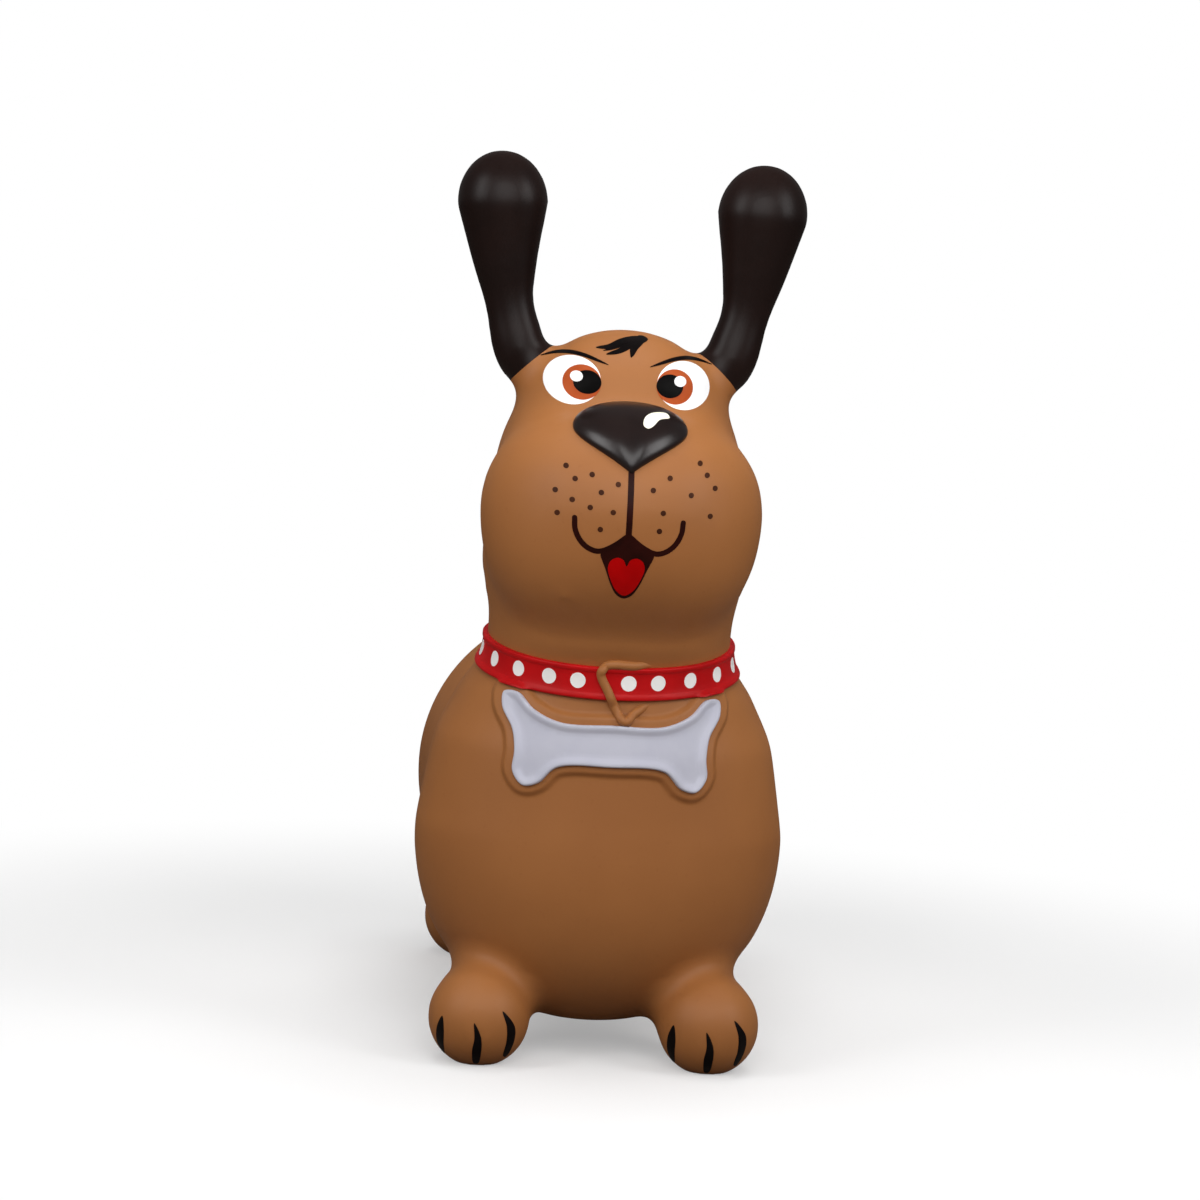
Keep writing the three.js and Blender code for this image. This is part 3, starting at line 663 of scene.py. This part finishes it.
def patch(name, outline, sheet, lift, spacing, insets=(), sunk=0.5):
    """A closed shell with a flat outline, pressed onto the dog. The lift gives its height from its edge."""
    outline = np.asarray(outline, float)
    after = np.roll(outline, -1, 0)
    if (outline[:, 0] * after[:, 1] - after[:, 0] * outline[:, 1]).sum() < 0:
        outline = outline[::-1]
    ahead = np.roll(outline, -1, 0) - np.roll(outline, 1, 0)
    inward = np.stack([-ahead[:, 1], ahead[:, 0]], 1) / np.linalg.norm(ahead, axis=1, keepdims=True)
    spots = [outline]
    for inset in insets:
        ring = outline + inward * inset
        spots.append(ring[edge_distance(outline, ring) > 0.97 * inset])
    (left, low), (right, high) = outline.min(0), outline.max(0)
    grid = [
        (x + spacing / 2 * (row % 2), y)
        for row, y in enumerate(np.arange(low, high, 0.866 * spacing))
        for x in np.arange(left, right, spacing)
    ]
    if grid:
        grid = np.array(grid)
        spots.append(grid[edge_distance(outline, grid) > max(insets, default=0) + 0.6 * spacing])
    spots = np.vstack(spots)
    loop = [(k, (k + 1) % len(outline)) for k in range(len(outline))]
    flat, _, faces, *_ = delaunay_2d_cdt([Vector(p) for p in spots], loop, [], 1, 1e-6)
    flat = np.array(flat)
    faces = [tuple(f) for f in faces]
    places, facings = sheet.press(flat)
    inside = np.maximum(edge_distance(outline, flat), 0)
    height = np.broadcast_to(lift(inside, flat), inside.shape)[:, None]
    count = len(flat)
    sides = {(f[k], f[(k + 1) % len(f)]) for f in faces for k in range(len(f))}
    walls = [(b, a, a + count, b + count) for a, b in sides if (b, a) not in sides]
    under = [tuple(k + count for k in f[::-1]) for f in faces]
    points = np.vstack([places + facings * height * MM, places - facings * sunk * MM])
    made = piece(name, points, faces + walls + under)
    made.data.set_sharp_from_angle(angle=np.radians(55))
    return made


widest, tip = (NOSE_HALF, NOSE_WIDEST), (0, NOSE_TIP)
upper = bezier((0, NOSE_TOP), (0.62 * NOSE_HALF, NOSE_TOP), (NOSE_HALF, 0.62 * NOSE_TOP), widest, 28)
lower = bezier(widest, (NOSE_HALF, 0.26 * NOSE_TIP), (0.5 * NOSE_HALF, 0.62 * NOSE_TIP), tip, 32)
nose_half = np.vstack([upper, lower, [tip]])
nose_outline = np.vstack([nose_half, nose_half[-2:0:-1] * (-1, 1)])


def nose_dome(inside, flat):
    """A smooth dome over the outline, with a groove from its middle down to its tip."""
    turn, rim_turn = np.arctan2(*flat.T), np.arctan2(*nose_outline.T)
    reach = np.interp(turn, rim_turn, np.linalg.norm(nose_outline, axis=1), period=2 * np.pi)
    share = np.clip(np.linalg.norm(flat, axis=1) / reach, 0, 1)
    groove = NOSE_GROOVE * np.exp(-((flat[:, 0] / NOSE_GROOVE_WIDTH) ** 2))
    groove *= soft_step(-flat[:, 1] / NOSE_GROOVE_RUN)
    return NOSE_RELIEF * (1 - share**2.4) ** 0.55 - groove * (1 - share**4)


nose_axis = np.array([0, -np.cos(NOSE_TILT), np.sin(NOSE_TILT)])
nose_sheet = Sheet(np.array((0, *MUZZLE[1][:2])) * MM, nose_axis, on_skin)
nose_steps = (0.15, 0.45, 0.95, 1.7, 2.7, 3.9)
nose = patch("nose_pad", nose_outline, nose_sheet, nose_dome, 1.3, insets=nose_steps)
glossy_vinyl, shader, place = finish_for("glossy_vinyl")
feed(
    shader,
    Base_Color=place.noise(30, 3.0).ranged(0.3, 0.7).mixed(linear(20, 10, 9), linear(28, 15, 13)),
    Roughness=0.26 + 0.08 * place.noise(50, 4.0),
    Normal=orange_peel(place, 0.08 * MM, 0.3),
)
shader.inputs["Specular IOR Level"].default_value = 0.5
nose.data.materials.append(glossy_vinyl)
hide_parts("nose")
on_nose = Surface(nose)
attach(nose, "trunk")

# The collar: a band with a raised border along each edge, moulded with the skin and sprayed red. It is
# widest under the chin and narrows to the nape.
COLLAR_SHARE = 3 / 8  # the neck is the fourth of nine levels
COLLAR_HALF, COLLAR_NAPE_HALF = 11, 7.5
COLLAR_RELIEF, COLLAR_BORDER, COLLAR_BORDER_RELIEF = 2.6, 3.2, 0.6
COLLAR_COLUMNS = 240
OFF_NECK = 30 * MM  # where the rays that find the neck start
share_step = 0.01
collar_point = through(pear.spine, np.array([COLLAR_SHARE]))[0]
collar_rise = through(pear.spine, np.array([COLLAR_SHARE + share_step]))[0] - collar_point
collar_pitch = np.linalg.norm(collar_rise) / share_step
collar_axis = collar_rise / np.linalg.norm(collar_rise)


def on_neck(along, column, out):
    """A point that stands out from the neck, given its distance from the middle of the collar."""
    share = np.array([COLLAR_SHARE + along / collar_pitch])
    centre = through(pear.spine, share)[0] * MM
    rim = pear.rings(share, around=COLLAR_COLUMNS)[0][column] * MM
    away = (rim - centre) / np.linalg.norm(rim - centre)
    _, spot, _ = on_skin.hit(rim + away * OFF_NECK, -away)
    return spot + away * out * MM


def collar_profile(half):
    top, flat = COLLAR_RELIEF + COLLAR_BORDER_RELIEF, COLLAR_RELIEF
    inner = COLLAR_BORDER - half
    rising = [(-half, -0.6), (-half, top - 1.1), (-half + 0.25, top - 0.45), (-half + 0.9, top - 0.05)]
    rising += [(-half + 1.7, top), (inner - 0.5, top - 0.03), (inner, top - 0.2)]
    rising += [(inner + 0.5, flat + 0.12), (inner + 1.1, flat)]
    middle = [(half * k, flat) for k in (-0.3, 0, 0.3)]
    return rising + middle + [(-along, out) for along, out in rising[::-1]]


points, faces = [], []
for column in range(COLLAR_COLUMNS):
    frontness = (1 + np.sin(2 * np.pi * column / COLLAR_COLUMNS)) / 2
    half = COLLAR_NAPE_HALF + frontness * (COLLAR_HALF - COLLAR_NAPE_HALF)
    points += [on_neck(along, column, out) for along, out in collar_profile(half)]
rows = len(points) // COLLAR_COLUMNS
for column in range(COLLAR_COLUMNS):
    here, there = column * rows, (column + 1) % COLLAR_COLUMNS * rows
    faces += [(here + k, there + k, there + (k + 1) % rows, here + (k + 1) % rows) for k in range(rows)]
collar = piece("collar_strap", points, faces)
collar.data.set_sharp_from_angle(angle=np.radians(60))
red_paint, shader, place = finish_for("red_paint")
feed(
    shader,
    Base_Color=place.noise(40, 3.0).ranged(0.3, 0.7).mixed(linear(196, 6, 12), linear(182, 4, 9)),
    Roughness=0.42 + 0.1 * place.noise(60, 4.0),
    Normal=orange_peel(place, 0.08 * MM, 0.3),
)
shader.inputs["Specular IOR Level"].default_value = 0.22
collar.data.materials.append(red_paint)
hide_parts("collar_band")
on_collar = Surface(collar)
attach(collar, "trunk")

# The dots: white paint, stamped on the collar in a row that runs all round it and leaves the ring free.
# They stand wider apart to the sides, so that they look even from the front.
DOT_RADIUS = 4.7
DOT_ROW_MIDDLE, DOT_ROW_START = -8.6, 15.1  # from the middle of the chest, and from there to the first dots
DOTS_IN_FRONT = np.array([0, 18.8, 40.8, 66, 94.4])  # from the first dot on each side
DOT_PITCH_BEHIND = 27
PRINT_RELIEF = 0.15


def paint(name, light, dark, rough):
    """A thin coat of paint with a little cloudiness."""
    material, shader, place = finish_for(name)
    shader.inputs["Specular IOR Level"].default_value = 0.08
    feed(
        shader,
        Base_Color=place.noise(70, 3.0).ranged(0.3, 0.7).mixed(linear(*light), linear(*dark)),
        Roughness=rough + 0.1 * place.noise(90, 3.0),
        Normal=orange_peel(place, 0.05 * MM, 0.25),
    )
    return material


def oval(centre, radii, count=40):
    angle = np.linspace(0, 2 * np.pi, count, endpoint=False)
    return np.stack([np.cos(angle), np.sin(angle)], 1) * radii + centre


def even(relief):
    """A print of one thickness."""
    return lambda inside, flat: relief


def joined(name, parts, material):
    """Prints of one colour as one piece."""
    points, faces = [], []
    for part in parts:
        start = len(points)
        points += [v.co.copy() for v in part.data.vertices]
        faces += [tuple(start + k for k in f.vertices) for f in part.data.polygons]
        bpy.data.objects.remove(part)
    made = piece(name, points, faces)
    made.data.set_sharp_from_angle(angle=np.radians(55))
    made.data.materials.append(material)
    return made


white_paint = paint("white_paint", (250, 250, 249), (243, 243, 241), 0.34)
band_middle = np.array([on_neck(0, k, COLLAR_RELIEF) for k in range(COLLAR_COLUMNS)])
steps = np.linalg.norm(np.roll(band_middle, -1, 0) - band_middle, axis=1) / MM
walked = np.concatenate([[0], np.cumsum(steps)])
row_middle = walked[COLLAR_COLUMNS // 4] + DOT_ROW_MIDDLE
to_left = row_middle + DOT_ROW_START + DOTS_IN_FRONT
to_right = row_middle - DOT_ROW_START - DOTS_IN_FRONT
nape_length = to_right[-1] + walked[-1] - to_left[-1]
nape_row = np.linspace(0, nape_length, round(nape_length / DOT_PITCH_BEHIND) + 1)[1:-1]
dots = []
for along in np.concatenate([to_left, to_right, to_left[-1] + nape_row]):
    column = int(np.searchsorted(walked, along % walked[-1])) % COLLAR_COLUMNS
    ahead = band_middle[(column + 1) % COLLAR_COLUMNS] - band_middle[column - 1]
    ahead /= np.linalg.norm(ahead)
    out = np.cross(ahead, collar_axis)
    stamp = Sheet(band_middle[column] - out * (Sheet.REACH - 0.02), out, on_collar, right=ahead)
    dots.append(patch("dot", oval((0, 0), DOT_RADIUS, 28), stamp, even(PRINT_RELIEF), 1.5))
dots = joined("collar_dots", dots, white_paint)
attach(dots, "trunk")

# The ring: a bent wire, moulded with the skin, that lies along the top of the collar, crosses it and hangs
# in a point below. It was left in the colour of the skin.
RING_WIRE = 5.4
RING_DROP, RING_LEFT, RING_RIGHT = 11, 9, 20
RING_TUCK = 0.12  # share of its length
above, under = COLLAR_HALF, -COLLAR_HALF - RING_DROP
ring_corners = [
    (RING_RIGHT, above),
    (RING_RIGHT / 2, above),
    (-RING_LEFT * 0.5, above),
    (-RING_LEFT, COLLAR_HALF * 0.6),
    (-RING_LEFT * 0.4, -COLLAR_HALF * 0.5),
    (RING_LEFT * 0.35, -COLLAR_HALF - RING_DROP * 0.7),
    (RING_LEFT * 0.8, under),
    (RING_RIGHT * 0.62, -COLLAR_HALF - RING_DROP * 0.62),
    (RING_RIGHT, -COLLAR_HALF - RING_WIRE / 2),
]


def wire(name, path, radius, around=20):
    """A round wire along a path, with round ends."""
    ahead = np.gradient(path, axis=0)
    ahead /= np.linalg.norm(ahead, axis=1, keepdims=True)
    quarter = np.linspace(0, np.pi / 2, 6)[1:]
    stations = [(path[0] - ahead[0] * radius * np.sin(q), ahead[0], np.cos(q)) for q in quarter[::-1]]
    stations += [(p, a, 1) for p, a in zip(path, ahead)]
    stations += [(path[-1] + ahead[-1] * radius * np.sin(q), ahead[-1], np.cos(q)) for q in quarter]
    turn = np.linspace(0, 2 * np.pi, around, endpoint=False)
    across = np.array([0.0, 0.0, 1.0])
    points, faces = [], []
    for centre, along, size in stations:
        across = across - along * (across @ along)
        across /= np.linalg.norm(across)
        other = np.cross(along, across)
        size = max(size, 1e-3) * radius
        points += [centre + size * (np.cos(t) * across + np.sin(t) * other) for t in turn]
    for r in range(len(stations) - 1):
        faces += band(r * around, (r + 1) * around, around)
    faces += [tuple(range(around))[::-1], tuple(range(len(points) - around, len(points)))]
    return piece(name, points, faces)


neck_front = np.cross(X_AXIS, collar_axis)
ring_sheet = Sheet(collar_point * MM, neck_front, on_skin, on_collar)
laid, _ = ring_sheet.press(through(ring_corners, np.linspace(0, 1, 90)))
from_end = np.minimum(np.linspace(0, 1, 90), np.linspace(1, 0, 90)) / RING_TUCK
laid += neck_front * RING_WIRE * (0.25 - 0.75 * soft_step(1 - from_end))[:, None] * MM  # the ends tuck in
for _ in range(3):
    laid[1:-1] = (laid[:-2] + 2 * laid[1:-1] + laid[2:]) / 4
ring = wire("collar_wire", laid, RING_WIRE / 2 * MM)
ring.data.materials.append(brown_vinyl)
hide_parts("collar_ring")
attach(ring, "trunk")

# The tag: a bare bone-shaped plate on the raised pad, moulded with the skin and sprayed pale grey with a
# touch of blue. A thin rim runs round its dished face.
TAG_EDGE, TAG_RIM, TAG_RIM_RELIEF, TAG_FACE_RELIEF = 0.9, 1.6, 2.8, 0.8
TAG_SLOPE = 4.5


def tag_height(inside, flat):
    edge = np.sqrt(1 - (1 - np.clip(inside / TAG_EDGE, 0, 1)) ** 2)
    dish = soft_step((inside - TAG_RIM) / TAG_SLOPE)
    return TAG_RIM_RELIEF * edge - (TAG_RIM_RELIEF - TAG_FACE_RELIEF) * dish


chest_sheet = Sheet((0, -0.1, TAG_HEIGHT * MM), FORWARD, on_skin)
tag_steps = (0.12, 0.35, 0.9, 1.6, 2.3, 3.0, 3.8, 4.7, 5.6)
tag = patch("bone_plate", closed(bone_corners, 360), chest_sheet, tag_height, 2.0, insets=tag_steps)
pale_paint = paint("pale_paint", (197, 198, 211), (193, 194, 208), 0.36)
tag.data.materials.append(pale_paint)
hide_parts("bone_tag")
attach(tag, "trunk")

# The eyes: printed on the skin in four coats of paint, white, brown, black and a white spark, each over the
# one before. A thin black brow tapers over each eye.
EYE_HEIGHT = 416
EYE_COATS = [
    ("eye_whites", (33.7, 0), (16.85, 14.4), (252, 252, 252), (246, 246, 247), 0.15),
    ("irises", (27.95, -1.1), (11.4, 10.4), (178, 84, 42), (166, 74, 35), 0.22),
    ("pupils", (24.8, -0.9), (8.3, 7.0), (10, 8, 8), (4, 3, 3), 0.29),
    ("sparks", (31.2, 2.2), (3.75, 3.2), (253, 253, 253), (247, 247, 247), 0.36),
]
BROW_LINE = [(52.2, 13.1), (43.4, 15.6), (35.4, 16.3), (27.4, 15.1), (19.4, 12.5), (12.6, 10.0)]
BROW_WIDTH = 2.3
face_sheet = Sheet((0, -0.1, 0), FORWARD, on_skin)
for name, (across, rise), radii, light, dark, relief in EYE_COATS:
    coats = [
        patch(name, oval((hand * across, EYE_HEIGHT + rise), radii, 56), face_sheet, even(relief), 1.6)
        for hand in (1, -1)
    ]
    coats = joined(name, coats, paint(name, light, dark, 0.3))
    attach(coats, "trunk")


def stroke(corners, width, taper=0.0, count=28):
    """The outline of a painted line through the corners. Its ends are round, or pointed where it tapers."""
    line = through(corners, np.linspace(0, 1, count))
    ahead = np.gradient(line, axis=0)
    ahead /= np.linalg.norm(ahead, axis=1, keepdims=True)
    left = np.stack([-ahead[:, 1], ahead[:, 0]], 1)
    swell = np.sin(np.pi * np.linspace(0.02, 0.98, count)) ** taper if taper else np.ones(count)
    half = width / 2 * swell[:, None]
    turn = np.linspace(0, np.pi, 8)[1:-1, None]
    end = line[-1] + half[-1] * (np.cos(turn) * left[-1] + np.sin(turn) * ahead[-1])
    start = line[0] - half[0] * (np.cos(turn) * left[0] + np.sin(turn) * ahead[0])
    return np.vstack([line + left * half, end, (line - left * half)[::-1], start])


black_paint = paint("black_paint", (18, 13, 13), (9, 6, 6), 0.32)
brows = []
for hand in (1, -1):
    corners = [(hand * x, EYE_HEIGHT + rise) for x, rise in BROW_LINE]
    line = stroke(corners, BROW_WIDTH, 0.7)
    brows.append(patch("brow", line, face_sheet, even(PRINT_RELIEF + 0.07), 1.2))
brows = joined("brows", brows, black_paint)
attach(brows, "trunk")

# The tuft: a few quick strokes of black hair on the forehead. They are printed in the paint of the brows,
# with the skin showing between them.
TUFT_STROKES = [
    ([(11.5, 442.2), (7.5, 441.8), (3.5, 438), (1.2, 431.5)], 5.6),
    ([(11, 443), (3, 442.3), (-5, 440), (-12, 436.8), (-19.5, 435.8)], 3.4),
    ([(7, 440.5), (0, 437.5), (-6, 434.5), (-13.5, 432.2)], 3.2),
    ([(4, 441), (-4, 437.8), (-11, 435.4), (-15.5, 434.2)], 1.4),
]
tuft = [stroke(line, width, 0.6) for line, width in TUFT_STROKES]
tuft = [patch("hair", line, face_sheet, even(PRINT_RELIEF), 1.2) for line in tuft]
tuft = joined("tuft", tuft, black_paint)
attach(tuft, "trunk")

# The mouth: a dark line from the nose down into a smile, and an open mouth below it with a red heart-shaped
# tongue. All of it is printed on the muzzle, the tongue last.
SMILE_WIDTH = 3.1
SMILE = [(31.7, 338.2), (31.0, 331.5), (27.6, 324.9), (22.2, 320.6), (16.5, 319.4), (8.5, 322.9)]
SMILE += [(0, 329.5)]
PHILTRUM = [(0, 368), (0, 350), (0, 327)]
PHILTRUM_WIDTH = 3.6
MOUTH_HALF = [(0, 330), (7.5, 323), (15.0, 320), (15.6, 317.6), (12.3, 309.5), (8.0, 299), (4.4, 293.6)]
TONGUE_HALF = [(0, 311.3), (1.9, 314.8), (5.5, 316.2), (9.3, 314.3), (10.7, 310), (8.8, 303.2), (4.6, 296)]
maroon_paint = paint("maroon_paint", (44, 12, 8), (32, 8, 5), 0.34)


def both_halves(half, lowest):
    return [*half, lowest, *[(-x, z) for x, z in half[:0:-1]]]


lines = [stroke(PHILTRUM, PHILTRUM_WIDTH)]
lines += [stroke([(hand * x, z) for x, z in SMILE], SMILE_WIDTH) for hand in (1, -1)]
lines.append(closed(both_halves(MOUTH_HALF, (0, 291.6)), 90))
mouth = [patch("line", line, face_sheet, even(PRINT_RELIEF), 1.4) for line in lines]
mouth = joined("mouth", mouth, maroon_paint)
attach(mouth, "trunk")
tongue = closed(both_halves(TONGUE_HALF, (0, 293.4)), 90)
tongue = patch("tongue", tongue, face_sheet, even(PRINT_RELIEF + 0.08), 1.4)
tongue.data.materials.append(paint("tongue_paint", (186, 1, 3), (172, 0, 2), 0.32))
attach(tongue, "trunk")

# The whiskers: small dark dots on both sides of the muzzle. They are paint, stamped on the skin, and the
# two sides differ a little.
WHISKER_RADIUS = 1.6
WHISKERS = [(-37.8, 367.6), (-32.4, 360.6), (-22.7, 363.5), (-7.5, 358.7), (-43.5, 353.4)]
WHISKERS += [(-17.1, 353.6), (-33.6, 348.5), (-23.1, 344.6), (-41.8, 340.3), (-9.7, 342.5), (-16.6, 332.2)]
WHISKERS += [(40.9, 372.6), (45.3, 365.9), (22.8, 363.6), (13.0, 356.3), (50.4, 358.5)]
WHISKERS += [(35.8, 354.2), (19.5, 343.4), (48.0, 342.3), (17.8, 332.8)]
whiskers = [oval(spot, WHISKER_RADIUS, 20) for spot in WHISKERS]
whiskers = [patch("whisker", dot, face_sheet, even(PRINT_RELIEF), 1.0) for dot in whiskers]
whiskers = joined("whiskers", whiskers, paint("whisker_paint", (72, 38, 20), (58, 29, 15), 0.4))
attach(whiskers, "trunk")

# The spark on the nose: a comma of cream paint on one side of it. It is stamped over the dark coat of the
# nose.
SPARK = [(6.6, -7), (7.6, 0.7), (12.5, 6.9), (20.5, 9.8), (22.3, 5.1), (16.6, 0.9), (12.0, -6.7)]
SPARK += [(9.0, -8.9)]
nose_face = Sheet(nose_sheet.centre, nose_axis, on_nose)
spark = patch("nose_spark", closed(SPARK, 60), nose_face, even(PRINT_RELIEF), 1.4)
spark.data.materials.append(paint("cream_paint", (252, 250, 228), (246, 243, 218), 0.3))
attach(spark, "trunk")

# The claws: three strokes of black paint on each front paw. They are printed on the skin.
PAW_MIDDLE = FRONT_LEG[-1][0]
CLAWS = [
    [(-22.7, 31), (-25.4, 24), (-25.0, 14), (-21.7, 6.8), (-20.0, 4.9), (-21.0, 14), (-21.4, 24)],
    [(-3.6, 29.5), (0.9, 21), (1.6, 11), (0.2, 2), (-2.2, 2), (-3.9, 11), (-3.0, 20)],
    [(13.2, 36.5), (21.0, 27), (21.2, 16.5), (16.8, 6), (15.2, 7.4), (16.5, 17), (16.2, 27)],
]
claws = []
for hand in (1, -1):
    for claw in CLAWS:
        outline = closed([(hand * PAW_MIDDLE + x, z) for x, z in claw], 48)
        claws.append(patch("claw", outline, face_sheet, even(PRINT_RELIEF), 1.2))
claws = joined("claws", claws, black_paint)
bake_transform(claws)

# The studio: a plain pale floor that runs out into white. Soft boxes light the dog from the front, from
# overhead, from both sides and from behind.
floor = piece("floor", [(-6, -6, 0), (6, -6, 0), (6, 6, 0), (-6, 6, 0)], [(0, 1, 2, 3)])
floor_paint, shader, place = finish_for("floor_paint")
feed(shader, Base_Color=place.noise(3, 2.0).mixed(linear(250, 250, 250), linear(253, 253, 253)))
shader.inputs["Roughness"].default_value = 0.8
distance = place.node("ShaderNodeVectorMath", {"operation": "LENGTH"}, {0: place}, 1)
glow = place.node("ShaderNodeEmission", None, {"Strength": 1.0})
dim = place.node("ShaderNodeBsdfDiffuse", None, {"Color": linear(128, 120, 114)})
direct = place.node("ShaderNodeLightPath")
white = Tone(place.tree, shader.outputs[0])
far_out = distance.ranged(0.3, 0.75, 0.35, 1.0)
seen = place.node("ShaderNodeMixShader", None, {0: far_out, 1: white, 2: glow})
surface = place.node("ShaderNodeMixShader", None, {0: direct, 1: dim, 2: seen})
place.tree.links.new(surface.socket, place.tree.nodes["Material Output"].inputs["Surface"])
floor.data.materials.append(floor_paint)
floor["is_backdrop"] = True
world = bpy.data.worlds.new("studio")
world.use_nodes = True
sky = Tone(world.node_tree)
seen = sky.node("ShaderNodeBackground", None, {"Color": (1, 1, 1, 1), "Strength": 1.0})
fill = sky.node("ShaderNodeBackground", None, {"Color": (1, 1, 1, 1), "Strength": 0.16})
direct = sky.node("ShaderNodeLightPath", None, None, 0)
backdrop = sky.node("ShaderNodeMixShader", None, {0: direct, 1: fill, 2: seen})
world.node_tree.links.new(backdrop.socket, world.node_tree.nodes["World Output"].inputs["Surface"])
bpy.context.scene.world = world


def soft_light(name, spot, aim, size, power, shine=True):
    """A soft box. Without shine it is not mirrored in the dog."""
    light = bpy.data.lights.new(name, "AREA")
    light.shape = "RECTANGLE"
    light.size, light.size_y = size
    light.energy = power
    lamp = bpy.data.objects.new(name, light)
    lamp.location = spot
    lamp.visible_camera, lamp.visible_glossy = False, shine
    lamp.rotation_euler = (Vector(aim) - Vector(spot)).to_track_quat("-Z", "Y").to_euler()
    bpy.context.scene.collection.objects.link(lamp)


soft_light("front", (0, -1.1, 0.85), (0, -0.15, 0.34), (0.9, 0.7), 6.2)
soft_light("top", (0, -0.12, 1.3), (0, -0.16, 0.35), (0.9, 0.5), 7, shine=False)
soft_light("left", (-1.15, -0.85, 1.0), (0, -0.12, 0.36), (0.6, 0.9), 8)
soft_light("right", (1.15, -0.85, 1.0), (0, -0.12, 0.36), (0.6, 0.9), 8)
soft_light("behind", (0.5, 1.6, 1.5), (0, 0, 0.25), (1.2, 1.0), 6, shine=False)

AIM = Vector((-0.0011, -0.035, 0.2715))
AZIMUTH, ELEVATION, ROLL = np.radians((-3.65, 5.31, 3.14))
DISTANCE = 2.151
lens = bpy.data.cameras.new("camera")
lens.lens = 100
lens.sensor_width = 36
camera = bpy.data.objects.new("camera", lens)
level = np.cos(ELEVATION)
away = Vector((np.sin(AZIMUTH) * level, -np.cos(AZIMUTH) * level, np.sin(ELEVATION)))
upright = (-away).to_track_quat("-Z", "Y").to_matrix()
rolled = upright @ Matrix.Rotation(ROLL, 3, "Z")
camera.matrix_world = Matrix.Translation(AIM + away * DISTANCE) @ rolled.to_4x4()
bpy.context.scene.collection.objects.link(camera)
bpy.context.scene.camera = camera
bpy.context.scene.view_settings.view_transform = "Standard"

corners = lambda box: [[float(v) for v in corner] for corner in box]
{"cad": corners(cad_box), "visual": corners(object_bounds())}
